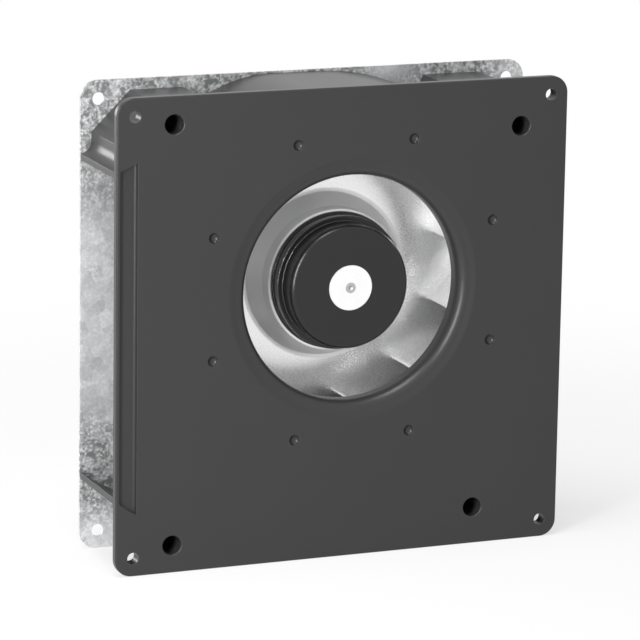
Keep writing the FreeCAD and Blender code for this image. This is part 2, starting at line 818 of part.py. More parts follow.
def root_face(side):
    """The hollow rounding between a block's outlet side and the roof, let into both."""
    radius = D["block_root"].value
    slope = math.radians(D["roof_slope"].value)
    inside = D["rib_root"].value
    x = side.value
    reach = radius * math.tan((math.pi / 2 - slope) / 2)
    low = on_roof(side).value
    block_end = flat_point(x, low + reach)
    roof_end = flat_point(x - reach * math.cos(slope), low - reach * math.sin(slope))
    centre = flat_point(x - radius, low + reach)
    toward_corner = (flat_point(x, low) - centre).normalize()
    edges = [
        line(block_end, flat_point(x + inside, low + reach)),
        line(flat_point(x + inside, low + reach), flat_point(x + inside, low - inside)),
        line(flat_point(x + inside, low - inside), flat_point(roof_end.x, roof_end.z - inside)),
        line(flat_point(roof_end.x, roof_end.z - inside), roof_end),
        arc_through(roof_end, centre + toward_corner * radius, block_end),
    ]
    return Part.Face(Part.Wire(Part.__sortEdges__(edges)))


def pillar_ribs():
    """Ribs that tie the pillars to the duct wall and to the upper right block."""
    thick = D["wall_thick"].value
    well = WELLS["lower_right"]
    ribs = []
    for name in ("upper", "lower"):
        end = into_scroll(D[f"{name}_rib_angle"])
        ribs.append(standing(f"{name}_rib", strip_face([well, end], thick)))
    x, z = WELLS["lower_left"]
    reach = D["pillar_radius"] + D["wall_thick"] / 2
    ribs.append(standing("left_rib", strip_face([(x, z), (x, z + reach)], thick)))
    x, z = WELLS["upper_right"]
    inside = HALF_SIDE - D["block_inset"] - D["rib_root"]
    ribs.append(standing("top_rib", strip_face([(x, z), (x, inside)], thick)))
    ribs.append(standing("side_rib", strip_face([(x, z), (inside, z)], thick)))
    return ribs


def scroll_wall():
    """The duct wall with the corner blocks, ribs and screw pillars that stand beside it."""
    pillars = []
    bores = []
    start = D["plate_thick"]
    for side, (x, z) in WELLS.items():
        well_length = WELL_FLOOR_Y - start
        passage = D["screw_radius"] + D["screw_play"]
        pillars.append(rod(f"{side}_pillar", D["pillar_radius"], start, D["duct_width"], x, z))
        bores.append(rod(f"{side}_well", D["well_radius"], start, well_length, x, z))
        bores.append(rod(f"{side}_passage", passage, start, D["duct_width"], x, z))
    walls = [standing("duct_wall", duct_face())] + corner_blocks() + pillar_ribs()
    return without("scroll_wall", fused("walls", walls + pillars), fused("wells", bores))


# Back sheet, its screws and nuts

def back_sheet():
    body = new_body("back_sheet")
    face = front_sketch(body, "sheet_outline", BACK_Y)
    outline(face, rounded_square(HALF_SIDE, D["plate_corner"]))
    padded(body, "sheet", face, D["sheet_thick"])
    holes = front_sketch(body, "sheet_holes")
    for x, z in square_corners(HALF_PITCH):
        circle(holes, x, z, D["rear_hole"] / 2)
    for x, z in WELLS.values():
        circle(holes, x, z, D["screw_radius"] + D["screw_play"])
    circle(holes, D["axis_x"], D["axis_z"], D["dish_radius"])
    pocketed(body, "sheet_openings", holes)
    thick = D["sheet_thick"]
    mouth = D["dish_radius"] + thick
    floor = D["dish_radius"] - D["dish_depth"]
    dish = [
        (0, DISH_Y),
        (floor - thick / 2, DISH_Y),
        (D["dish_radius"] - thick / 2, BACK_Y),
        (mouth, BACK_Y),
        (mouth, REAR_Y),
        (D["dish_radius"] + thick / 4, REAR_Y),
        (floor + thick / 4, DISH_Y + thick),
        (0, DISH_Y + thick),
    ]
    turned(body, "dish", dish, centre={"x": D["axis_x"], "z": D["axis_z"]})
    motor_holes = front_sketch(body, "motor_holes")
    for x, z in flange_places():
        circle(motor_holes, D["axis_x"] + x, D["axis_z"] + z, D["screw_radius"] + D["screw_play"])
    lead_z = D["axis_z"] - D["grommet_circle"]
    circle(motor_holes, D["axis_x"], lead_z, D["grommet_radius"])
    pocketed(body, "dish_openings", motor_holes)
    return body


def flange_places():
    """Where the flange's screws sit, from the impeller's axis."""
    reach = D["flange_circle"] * cosine(45)
    return square_corners(reach)


def housing_screws():
    length = D["well_floor"] + D["sheet_thick"] + D["nut_height"]
    head = (D["screw_head"], D["head_height"])
    master = pan_screw("housing_screw", D["screw_radius"], length, *head)
    screws = []
    for side, (x, z) in WELLS.items():
        screws.append(place(copy_of(f"{side}_screw", master), x, WELL_FLOOR_Y, z))
    return group("housing_screws", screws)


def clinch_nuts():
    nuts = []
    bore = D["screw_radius"] + D["nut_play"]
    for side, (x, z) in WELLS.items():
        outside = rod(f"{side}_nut_body", D["nut_radius"], REAR_Y, D["nut_height"], x, z)
        inside = rod(f"{side}_nut_bore", bore, REAR_Y, D["nut_height"], x, z)
        nuts.append(without(f"{side}_nut", outside, inside))
    return group("clinch_nuts", nuts)


# Motor flange and what it carries

def motor_flange():
    body = new_body("motor_flange")
    inner = D["flange_radius"] - D["flange_rim"]
    rim_y = DISH_Y - D["flange_height"]
    seat_y = DISH_Y - D["tube_seat_height"]
    pocket_y = DISH_Y - D["tube_bottom"]
    cup = [
        (0, pocket_y),
        (D["tube_radius"], pocket_y),
        (D["tube_radius"], seat_y),
        (D["tube_seat"], seat_y),
        (D["tube_seat"], FLANGE_FLOOR_Y),
        (inner, FLANGE_FLOOR_Y),
        (inner, rim_y),
        (D["flange_radius"], rim_y),
        (D["flange_radius"], DISH_Y),
        (0, DISH_Y),
    ]
    turned(body, "cup", cup)
    bosses = front_sketch(body, "boss_circles", rim_y)
    threads = front_sketch(body, "thread_circles")
    for x, z in flange_places():
        circle(bosses, x, z, D["flange_boss"])
        circle(threads, x, z, D["screw_radius"])
    padded(body, "bosses", bosses, D["flange_height"])
    board_rear = D["board_y"] + D["board_thick"]
    posts = front_sketch(body, "post_circles", board_rear)
    pilots = front_sketch(body, "pilot_circles", board_rear)
    for x, z in board_places():
        circle(posts, x, z, D["board_post"])
        circle(pilots, x, z, D["board_screw"])
    padded(body, "posts", posts, DISH_Y - board_rear)
    circle(threads, 0, -D["grommet_circle"], D["grommet_radius"])
    pocketed(body, "threads", threads)
    pocketed(body, "pilots", pilots, FLANGE_FLOOR_Y - board_rear)
    return on_axis(body)


def board_places():
    """Where the board's screws sit, from the impeller's axis."""
    return [(D["board_circle"] * cosine(a), D["board_circle"] * sine(a)) for a in (90, 210, 330)]


def flange_screws():
    length = D["sheet_thick"] + D["flange_thread"]
    head = (D["flange_head"], D["flange_head_height"])
    master = pan_screw("flange_screw", D["screw_radius"], length, *head, flip=True)
    screws = []
    for i, (x, z) in enumerate(flange_places()):
        copy = copy_of(f"flange_screw_{i + 1}", master)
        screws.append(place(copy, D["axis_x"] + x, DISH_Y + D["sheet_thick"], D["axis_z"] + z))
    return group("flange_screws", screws)


def bearing_tube():
    end = DISH_Y - D["tube_bottom"]
    shoulder = D["bearing_radius"] - D["tube_shoulder"]
    front_stop = D["front_bearing_y"] + D["bearing_width"]
    rear_stop = D["rear_bearing_y"] - D["washer_thick"]
    return ring(
        "bearing_tube",
        [
            (D["bearing_radius"], D["tube_front"]),
            (D["tube_radius"], D["tube_front"]),
            (D["tube_radius"], end),
            (D["bearing_radius"], end),
            (D["bearing_radius"], rear_stop),
            (shoulder, rear_stop),
            (shoulder, front_stop),
            (D["bearing_radius"], front_stop),
        ],
    )


def hoop(name, inner, outer, start, length):
    """A plain ring on the impeller's axis."""
    end = start + length
    return ring(name, [(inner, start), (outer, start), (outer, end), (inner, end)])


def bearing_rings(name, inner, outer):
    """One kind of ring in both bearings."""
    rings = []
    for end in ("front", "rear"):
        start = D[f"{end}_bearing_y"]
        rings.append(hoop(f"{end}_{name}", inner, outer, start, D["bearing_width"]))
    return group(name, rings)


def bearing_balls():
    circle_radius = D["bearing_radius"] - D["race_thick"] - D["race_play"] - D["ball_radius"]
    balls = []
    for end in ("front", "rear"):
        ball = DOC.addObject("Part::Sphere", f"{end}_ball")
        bind(ball, "Radius", D["ball_radius"])
        place(ball, circle_radius, D[f"{end}_bearing_y"] + D["bearing_width"] / 2, 0)
        balls += spread(f"{end}_bearing_ball", ball, D["ball_count"])
    return group("bearing_balls", balls)


def wave_washer():
    inner = D["bearing_radius"] - D["tube_shoulder"]
    start = D["rear_bearing_y"] - D["washer_thick"]
    return hoop("wave_washer", inner, D["bearing_radius"], start, D["washer_thick"])


CAN_WAIST = D["can_seat_radius"] - D["can_seat_step"]
CAN_NOSE = CAN_WAIST - D["can_nose_step"]
SEAT_BORE = D["can_seat_radius"] - D["can_wall"]
SEAT_Y = D["collar_y"] - D["disc_thick"]
MAGNET_Y = SEAT_Y + D["can_wall"]
MAGNET_BORE = SEAT_BORE - D["magnet_thick"]
STATOR_RADIUS = MAGNET_BORE - D["air_gap"]
STACK_Y = MAGNET_Y + (D["magnet_length"] - D["stack_length"]) / 2
STACK_END = STACK_Y + D["stack_length"]
COIL_Y = STACK_Y - D["insulator_thick"] - D["coil_head"]
COIL_END = STACK_END + D["insulator_thick"] + D["coil_head"]


def toothed_ring(name, start, length):
    """The stator's section: a yoke with teeth, each ending in a curved shoe."""
    body = new_body(name)
    end = start + length
    yoke = [
        (D["tube_radius"], start),
        (D["stack_yoke"], start),
        (D["stack_yoke"], end),
        (D["tube_radius"], end),
    ]
    turned(body, name + "_yoke", yoke)
    half = D["tooth_width"] / 2
    root_x = (D["tube_radius"] + D["stack_yoke"]) / 2
    tip_x = STATOR_RADIUS - D["shoe_thick"] / 2
    section = front_sketch(body, name + "_tooth_section", start)
    outline(section, [(root_x, -half), (tip_x, -half), (tip_x, half), (root_x, half)])
    tooth = padded(body, name + "_tooth", section, length)
    foot = STATOR_RADIUS - D["shoe_thick"]
    shoe_profile = [(foot, start), (STATOR_RADIUS, start), (STATOR_RADIUS, end), (foot, end)]
    shoe = turned(body, name + "_shoe", shoe_profile, D["shoe_angle"])
    around(body, name + "_teeth", [tooth, shoe], D["tooth_count"])
    return on_axis(body)


def stator_coils():
    """A rounded frame of wire round each tooth."""
    body = new_body("coil")
    section = new_sketch(body, "coil_section", "YZ_Plane", {"z": D["coil_inner"]})
    inner = D["tooth_width"] / 2 + D["coil_play"]
    outer = inner + D["coil_side"]
    bend = D["coil_side"]
    start, end = COIL_Y, COIL_END
    outline(
        section,
        [
            (start + bend, -outer, bend, 1), (end - bend, -outer),
            (end, -inner, bend, 1), (end, inner),
            (end - bend, outer, bend, 1), (start + bend, outer),
            (start, inner, bend, 1), (start, -inner),
        ],
    )
    near_y = STACK_Y - D["insulator_thick"]
    far_y = STACK_END + D["insulator_thick"]
    outline(section, [(near_y, -inner), (far_y, -inner), (far_y, inner), (near_y, inner)])
    pad = body.newObject("PartDesign::Pad", "coil_pad")
    pad.Profile = section
    coil_outer = STATOR_RADIUS - D["shoe_thick"] - D["coil_gap"]
    bind(pad, "Length", coil_outer - D["coil_inner"])
    return group("stator_coils", spread("coil", body, D["tooth_count"]))


def coil_pins():
    pin = rod("pin", D["pin_radius"], COIL_END, D["board_y"] - COIL_END, D["pin_circle"])
    return group("coil_pins", spread("coil_pin", pin, D["tooth_count"]))


def circuit_board():
    body = new_body("circuit_board")
    inner = D["tube_radius"] + D["board_play"]
    end = D["board_y"] + D["board_thick"]
    washer = [
        (inner, D["board_y"]),
        (D["board_radius"], D["board_y"]),
        (D["board_radius"], end),
        (inner, end),
    ]
    turned(body, "board", washer)
    holes = front_sketch(body, "board_holes")
    for x, z in board_places():
        circle(holes, x, z, D["board_screw"] + D["screw_play"])
    pocketed(body, "board_openings", holes)
    return on_axis(body)


def board_screws():
    length = D["board_thick"] + D["board_thread"]
    head = (D["board_screw_head"], D["board_screw_rise"])
    master = pan_screw("board_screw", D["board_screw"], length, *head)
    screws = []
    for i, (x, z) in enumerate(board_places()):
        copy = copy_of(f"board_screw_{i + 1}", master)
        screws.append(place(copy, D["axis_x"] + x, D["board_y"], D["axis_z"] + z))
    return group("board_screws", screws)


# Chips lie between the board's screws, clear of the lead grommet
CHIP_ANGLES = (0, -45, -135, 180)


def board_chips():
    """Switching chips on the rear of the board."""
    side = D["chip_side"]
    start = (D["pin_circle"] - side / 2, D["board_y"] + D["board_thick"], -side / 2)
    chip = block("chip", *start, side, D["chip_height"], side)
    chips = []
    for i, angle in enumerate(CHIP_ANGLES):
        chips.append(on_axis(copy_of(f"chip_{i + 1}", chip), angle))
    return group("board_chips", chips)


def lead_grommet():
    """The rubber ring that the leads pass through, in the floor of the flange and the dish."""
    body = new_body("lead_grommet")
    lip = D["grommet_lip"]
    start = FLANGE_FLOOR_Y
    end = DISH_Y + D["sheet_thick"]
    profile = [
        (D["lead_hole"], start - lip),
        (D["grommet_radius"], start - lip),
        (D["grommet_radius"] + lip, start, lip, 1),
        (D["grommet_radius"], start),
        (D["grommet_radius"], end),
        (D["grommet_radius"] + lip, end),
        (D["grommet_radius"], end + lip, lip, 1),
        (D["lead_hole"], end + lip),
    ]
    turned(body, "grommet", profile)
    return place(body, D["axis_x"], 0, D["axis_z"] - D["grommet_circle"])


# Rotor

def rotor_can():
    wall = D["can_wall"]
    bevel = D["can_shoulder_y"] - D["can_face"]
    return ring(
        "rotor_can",
        [
            (D["hub_neck"], D["can_face"]),
            (CAN_NOSE - D["can_bevel"], D["can_face"]),
            (CAN_NOSE, D["can_shoulder_y"], bevel, 1),
            (CAN_NOSE, D["can_step_y"]),
            (CAN_WAIST, D["can_step_y"]),
            (CAN_WAIST, SEAT_Y),
            (D["can_seat_radius"], SEAT_Y),
            (D["can_seat_radius"], D["can_mouth"]),
            (SEAT_BORE, D["can_mouth"]),
            (SEAT_BORE, SEAT_Y + wall),
            (CAN_WAIST - wall, SEAT_Y + wall),
            (CAN_WAIST - wall, D["can_step_y"] + wall),
            (CAN_NOSE - wall, D["can_step_y"] + wall),
            (CAN_NOSE - wall, D["can_face"] + wall),
            (D["hub_neck"], D["can_face"] + wall),
        ],
    )


def magnet_ring():
    return hoop("magnet_ring", MAGNET_BORE, SEAT_BORE, MAGNET_Y, D["magnet_length"])


def rotor_hub():
    face = D["can_face"] - D["hub_proud"]
    behind = D["can_face"] + D["can_wall"]
    flange_end = behind + D["hub_flange_thick"]
    return ring(
        "rotor_hub",
        [
            (D["shaft_radius"], face),
            (D["hub_radius"], face),
            (D["hub_radius"], D["can_face"]),
            (D["hub_neck"], D["can_face"]),
            (D["hub_neck"], behind),
            (D["hub_flange"], behind),
            (D["hub_flange"], flange_end),
            (D["hub_nose"], flange_end),
            (D["hub_nose"], D["front_bearing_y"]),
            (D["shaft_radius"], D["front_bearing_y"]),
        ],
    )


CLIP_Y = D["rear_bearing_y"] + D["bearing_width"]
CLIP_END = CLIP_Y + D["clip_thick"]
CLIP_BORE = D["shaft_radius"] - D["clip_groove"]


def shaft():
    face = D["can_face"] - D["hub_proud"]
    radius = D["shaft_radius"]
    dimple = D["shaft_centre"]
    chamfer = D["shaft_chamfer"]
    return ring(
        "shaft",
        [
            (0, face + dimple),
            (dimple, face),
            (radius, face),
            (radius, CLIP_Y),
            (CLIP_BORE, CLIP_Y),
            (CLIP_BORE, CLIP_END),
            (radius, CLIP_END),
            (radius, D["shaft_rear"] - chamfer),
            (radius - chamfer, D["shaft_rear"]),
            (0, D["shaft_rear"]),
        ],
    )


def retaining_clip():
    body = new_body("retaining_clip")
    washer = [
        (CLIP_BORE, CLIP_Y),
        (D["clip_radius"], CLIP_Y),
        (D["clip_radius"], CLIP_END),
        (CLIP_BORE, CLIP_END),
    ]
    turned(body, "clip", washer, 300)
    return on_axis(body)


# Impeller

SHROUD_EYE = D["throat_radius"] + D["bell_wall"] + D["nozzle_play"]
COLLAR_FOOT = D["can_seat_radius"] + D["collar_flare"]
FLARE_X = SHROUD_EYE + D["shroud_bend"]
FLARE_Y = D["shroud_bend_y"] + D["shroud_bend"]


def impeller_disc():
    thick = D["disc_thick"]
    collar = D["can_seat_radius"]
    return ring(
        "impeller_disc",
        [
            (collar, D["collar_y"]),
            (collar + thick, D["collar_y"]),
            (collar + thick, D["collar_cone_y"]),
            (COLLAR_FOOT, D["disc_y"]),
            (D["impeller_radius"], D["disc_y"]),
            (D["impeller_radius"], D["disc_y"] + thick),
            (COLLAR_FOOT - thick, D["disc_y"] + thick),
            (collar, D["collar_cone_y"] + thick),
        ],
    )


def impeller_shroud():
    thick = D["disc_thick"]
    bend = D["shroud_bend"]
    return ring(
        "impeller_shroud",
        [
            (SHROUD_EYE, D["shroud_front"]),
            (SHROUD_EYE + thick, D["shroud_front"]),
            (SHROUD_EYE + thick, D["shroud_bend_y"]),
            (FLARE_X, FLARE_Y - thick, bend - thick, -1),
            (D["impeller_radius"], D["shroud_rim_y"] - thick),
            (D["impeller_radius"], D["shroud_rim_y"]),
            (FLARE_X, FLARE_Y),
            (SHROUD_EYE, D["shroud_bend_y"], bend, 1),
        ],
    )


def blade():
    """A blade curved to one arc that leaves the inner and meets the outer circle at the two
    blade angles; its front edge follows the shroud."""
    inner = SHROUD_EYE + D["blade_setback"]
    outer = D["impeller_radius"] - D["blade_margin"]
    start_angle, end_angle = D["blade_in_angle"], D["blade_out_angle"]
    spread_cosines = outer * cosine(end_angle) - inner * cosine(start_angle)
    radius = (outer * outer - inner * inner) / (2 * spread_cosines)
    centre_x = inner - radius * cosine(start_angle)
    centre_z = radius * sine(start_angle)
    reach = root(centre_x * centre_x + centre_z * centre_z)

    def turn_at(distance):
        top = radius * radius + reach * reach - distance * distance
        return arc_cosine(top / (2 * radius * reach))

    first = -start_angle
    last = turn_at(outer) - turn_at(inner) - start_angle
    small = radius - D["blade_thick"] / 2
    large = radius + D["blade_thick"] / 2

    def corner(angle, distance):
        return centre_x + distance * cosine(angle), centre_z + distance * sine(angle)

    body = new_body("blade")
    section = front_sketch(body, "blade_section", D["shroud_bend_y"])
    outline(
        section,
        [
            (*corner(first, small), small, -1),
            corner(first, large),
            (*corner(last, large), large, 1),
            corner(last, small),
        ],
    )
    padded(body, "blade_pad", section, D["disc_y"] - D["shroud_bend_y"])
    ahead = D["shroud_front"]
    in_front = [
        (SHROUD_EYE, ahead),
        (D["impeller_radius"], ahead),
        (D["impeller_radius"], D["shroud_rim_y"]),
        (FLARE_X, FLARE_Y),
        (SHROUD_EYE, D["shroud_bend_y"], D["shroud_bend"], 1),
    ]
    turned(body, "blade_front", in_front, kind="PartDesign::Groove")
    return body


def blades():
    pieces = spread("impeller_blade", blade(), D["blade_count"], -D["blade_start_angle"])
    return {f"blade_{i + 1:02d}": piece for i, piece in enumerate(pieces)}


# All nodes

def build():
    nodes = {
        "front_housing": front_housing(),
        "scroll_wall": scroll_wall(),
        "back_sheet": back_sheet(),
        "housing_screws": housing_screws(),
        "clinch_nuts": clinch_nuts(),
        "motor_flange": motor_flange(),
        "flange_screws": flange_screws(),
        "bearing_tube": bearing_tube(),
        "wave_washer": wave_washer(),
        "stator_laminations": toothed_ring("laminations", STACK_Y, D["stack_length"]),
        "stator_coils": stator_coils(),
        "coil_pins": coil_pins(),
        "circuit_board": circuit_board(),
        "board_screws": board_screws(),
        "board_chips": board_chips(),
        "lead_grommet": lead_grommet(),
        "bearing_balls": bearing_balls(),
        "rotor_can": rotor_can(),
        "magnet_ring": magnet_ring(),
        "rotor_hub": rotor_hub(),
        "shaft": shaft(),
        "retaining_clip": retaining_clip(),
        "impeller_disc": impeller_disc(),
        "impeller_shroud": impeller_shroud(),
    }
    thick = D["insulator_thick"]
    nodes["front_insulator"] = toothed_ring("front_cap", STACK_Y - thick, thick)
    nodes["rear_insulator"] = toothed_ring("rear_cap", STACK_END, thick)
    outer_bore = D["bearing_radius"] - D["race_thick"]
    inner_rim = D["shaft_radius"] + D["race_thick"]
    outer_rings = bearing_rings("bearing_outer_rings", outer_bore, D["bearing_radius"])
    inner_rings = bearing_rings("bearing_inner_rings", D["shaft_radius"], inner_rim)
    nodes["bearing_outer_rings"] = outer_rings
    nodes["bearing_inner_rings"] = inner_rings
    nodes.update(blades())
    return nodes


def check(nodes):
    """Stops at a feature that failed or a piece that isn't a sound solid."""
    for thing in DOC.Objects:
        if {"Invalid", "Error"} & set(thing.State):
            raise RuntimeError(f"{thing.Name} failed: {thing.State}")
    for name, thing in nodes.items():
        shape = thing.Shape
        if shape.isNull() or not shape.isValid() or not shape.Solids:
            raise RuntimeError(f"{name} is not a sound solid")


def main():
    nodes = build()
    for name, thing in nodes.items():
        thing.Label = name
    DOC.recompute()
    check(nodes)
    os.makedirs("parts", exist_ok=True)
    for name, thing in nodes.items():
        thing.Shape.exportStep(f"parts/{name}.step")
        box = thing.Shape.BoundBox
        print(name, len(thing.Shape.Solids), f"{box.XLength:.2f} {box.YLength:.2f} {box.ZLength:.2f}")


main()
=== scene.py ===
"""Finishes and studio for a flat square centrifugal blower with a side outlet.

Metres, in the frame of the blower's solids: X to the right and Z up, seen from the inlet side, and Y
from the inlet face to the rear.
"""

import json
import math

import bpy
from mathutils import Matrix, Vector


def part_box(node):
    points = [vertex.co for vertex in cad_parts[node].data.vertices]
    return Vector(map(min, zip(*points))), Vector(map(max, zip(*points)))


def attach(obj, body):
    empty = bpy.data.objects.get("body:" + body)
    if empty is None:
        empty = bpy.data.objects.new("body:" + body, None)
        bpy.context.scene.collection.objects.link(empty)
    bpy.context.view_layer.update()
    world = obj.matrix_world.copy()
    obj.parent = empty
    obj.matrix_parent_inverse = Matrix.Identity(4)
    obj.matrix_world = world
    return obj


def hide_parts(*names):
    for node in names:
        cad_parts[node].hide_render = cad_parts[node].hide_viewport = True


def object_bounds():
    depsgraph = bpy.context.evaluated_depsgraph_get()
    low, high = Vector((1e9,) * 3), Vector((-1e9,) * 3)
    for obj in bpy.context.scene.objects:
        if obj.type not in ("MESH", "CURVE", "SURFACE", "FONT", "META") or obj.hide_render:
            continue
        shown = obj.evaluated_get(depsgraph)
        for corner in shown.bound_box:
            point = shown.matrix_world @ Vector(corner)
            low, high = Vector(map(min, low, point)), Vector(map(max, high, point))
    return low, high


bl_info = {
    "name": "Centrifugal Blower Finish",
    "version": (1, 0, 0),
    "blender": (4, 5, 0),
    "location": "3D View > Sidebar > Blower",
    "description": "Dresses a centrifugal blower in moulded, galvanised, bright and turned finishes",
    "category": "Object",
}

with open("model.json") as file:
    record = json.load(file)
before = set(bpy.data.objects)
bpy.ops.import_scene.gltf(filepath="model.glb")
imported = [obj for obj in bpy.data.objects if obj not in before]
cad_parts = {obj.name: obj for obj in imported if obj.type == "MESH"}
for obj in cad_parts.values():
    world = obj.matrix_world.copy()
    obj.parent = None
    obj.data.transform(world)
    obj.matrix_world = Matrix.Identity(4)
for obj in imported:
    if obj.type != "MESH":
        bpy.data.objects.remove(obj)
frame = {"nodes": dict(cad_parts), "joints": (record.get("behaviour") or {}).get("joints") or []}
CAD_LOW, CAD_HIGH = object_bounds()

MM = 0.001
SPIN = frame["joints"][0]
AXIS = Vector(SPIN["pos_m"])
BLADE_NODES = sorted(name for name in frame["nodes"] if name.startswith("blade_"))

# Colours of the parts' stock, which no setting changes
WHITE = (1.0, 1.0, 1.0)
# Bare steel at the coat's edges, partly a painted highlight
BARE_STEEL_AND_HIGHLIGHT = (0.6, 0.6, 0.6)
SCREW_ZINC = (0.42, 0.42, 0.41)
NUT_ZINC = (0.6, 0.6, 0.58)
SPRING_STEEL = (0.3, 0.3, 0.32)
TURNED_STEEL = (0.5, 0.5, 0.5)
GROUND_STEEL = (0.62, 0.62, 0.63)
STACKED_STEEL = (0.36, 0.36, 0.37)
TINNED_BRASS = (0.72, 0.72, 0.7)
CAST_ALLOY = (0.55, 0.56, 0.57)
FERRITE = (0.06, 0.06, 0.062)
PALE_NYLON = (0.78, 0.77, 0.7)
CHIP_RESIN = (0.025, 0.025, 0.025)
BLACK_RUBBER = (0.022, 0.022, 0.022)

# Darker speckled patches on the zinc, in mm: right of the sheet's left edge, above its lower edge, and how
# far it reaches. The upper-left one is a stain, the lower-left one is partly a stain and partly painted
# shade above the duct's floor wall, and the three along the top edge are darker patches.
STAINS_AND_SHADE = ((18, 208, 62), (4, 38, 34), (74, 216, 40), (122, 218, 26), (186, 216, 34))
STAIN_AND_SHADE_DEPTH = 50.5 * MM

# The studio: each lamp's place and the width and height of its light
KEY_PLACE, KEY_SIZE = Vector((-0.62, -0.5, 0.19)), (0.16, 0.58)
TOP_PLACE, TOP_SIZE = Vector((-0.35, -0.25, 1.5)), (0.9, 0.7)
RIM_PLACE, RIM_SIZE = Vector((-0.52, 1.15, 0.14)), (0.28, 0.36)
CAMERA_PLACE = Vector((-0.6829, -1.6425, 0.4126))
SENSOR_WIDTH = 36.0
VIEW_REACH = 50.0
FLOOR_REACH = 6.0

# How white a direct look at the floor is near the object and far from it, and where one turns to the other
FLOOR_NEAR, FLOOR_FAR = 0.68, 1.0
FADE_START, FADE_END = 0.15, 0.6


# Nodes written as expressions

class Field:
    """One output of a node, with arithmetic that adds Math nodes to its tree."""

    def __init__(self, sheet, socket):
        self.sheet = sheet
        self.socket = socket

    def math(self, operation, *others):
        return self.sheet.math(operation, self, *others)

    def __add__(self, other):
        return self.sheet.math("ADD", self, other)

    def __radd__(self, other):
        return self.sheet.math("ADD", other, self)

    def __sub__(self, other):
        return self.sheet.math("SUBTRACT", self, other)

    def __rsub__(self, other):
        return self.sheet.math("SUBTRACT", other, self)

    def __mul__(self, other):
        return self.sheet.math("MULTIPLY", self, other)

    def __rmul__(self, other):
        return self.sheet.math("MULTIPLY", other, self)

    def __truediv__(self, other):
        return self.sheet.math("DIVIDE", self, other)

    def __rtruediv__(self, other):
        return self.sheet.math("DIVIDE", other, self)

    def __neg__(self):
        return self.sheet.math("MULTIPLY", self, -1.0)


def blend(*shares):
    """The sum of fields, each times its share, from pairs of share and field."""
    first, *others = [share * field for share, field in shares]
    return sum(others, first)


def swung(base, *swings):
    """The base, swung up and down by fields from 0 to 1, from pairs of swing and field."""
    for swing, field in swings:
        base = base + swing * (field - 0.5)
    return base


class NodeSheet:
    """A node tree that is being filled."""

    EVERY = "every output"

    def __init__(self, tree):
        self.tree = tree

    def add(self, kind, settings=None, inputs=None, output=0):
        """Adds a node, sets it up, fills its sockets by name or number, and returns one output or all.

        A list fills a socket that takes several links.
        """
        node = self.tree.nodes.new(kind)
        for name, value in (settings or {}).items():
            setattr(node, name, value)
        for name, value in (inputs or {}).items():
            for part in value if isinstance(value, list) else [value]:
                self.fill(node.inputs[name], part)
        if output == self.EVERY:
            return [Field(self, socket) for socket in node.outputs]
        return Field(self, node.outputs[output]) if node.outputs else None

    def fill(self, socket, value):
        """Links a field to a socket, or sets the socket to a fixed value."""
        if isinstance(value, Field):
            self.tree.links.new(value.socket, socket)
        else:
            socket.default_value = value

    def math(self, operation, *terms):
        return self.add("ShaderNodeMath", {"operation": operation}, dict(enumerate(terms)))

    def ramp(self, value, low, high):
        """Runs smoothly from 0 to 1 as value goes from low to high."""
        ends = {"Value": value, "From Min": low, "From Max": high, "To Min": 0.0, "To Max": 1.0}
        return self.add("ShaderNodeMapRange", {"interpolation_type": "SMOOTHSTEP"}, ends)

    def vector(self, x, y, z):
        return self.add("ShaderNodeCombineXYZ", inputs={"X": x, "Y": y, "Z": z})

    def parts(self, vector):
        """The three components of a vector."""
        return self.add("ShaderNodeSeparateXYZ", inputs={"Vector": vector}, output=self.EVERY)

    def pair(self, operation, first, second):
        """The number that a Vector Math operation finds from two vectors."""
        ends = {0: first, 1: second}
        return self.add("ShaderNodeVectorMath", {"operation": operation}, ends, output="Value")


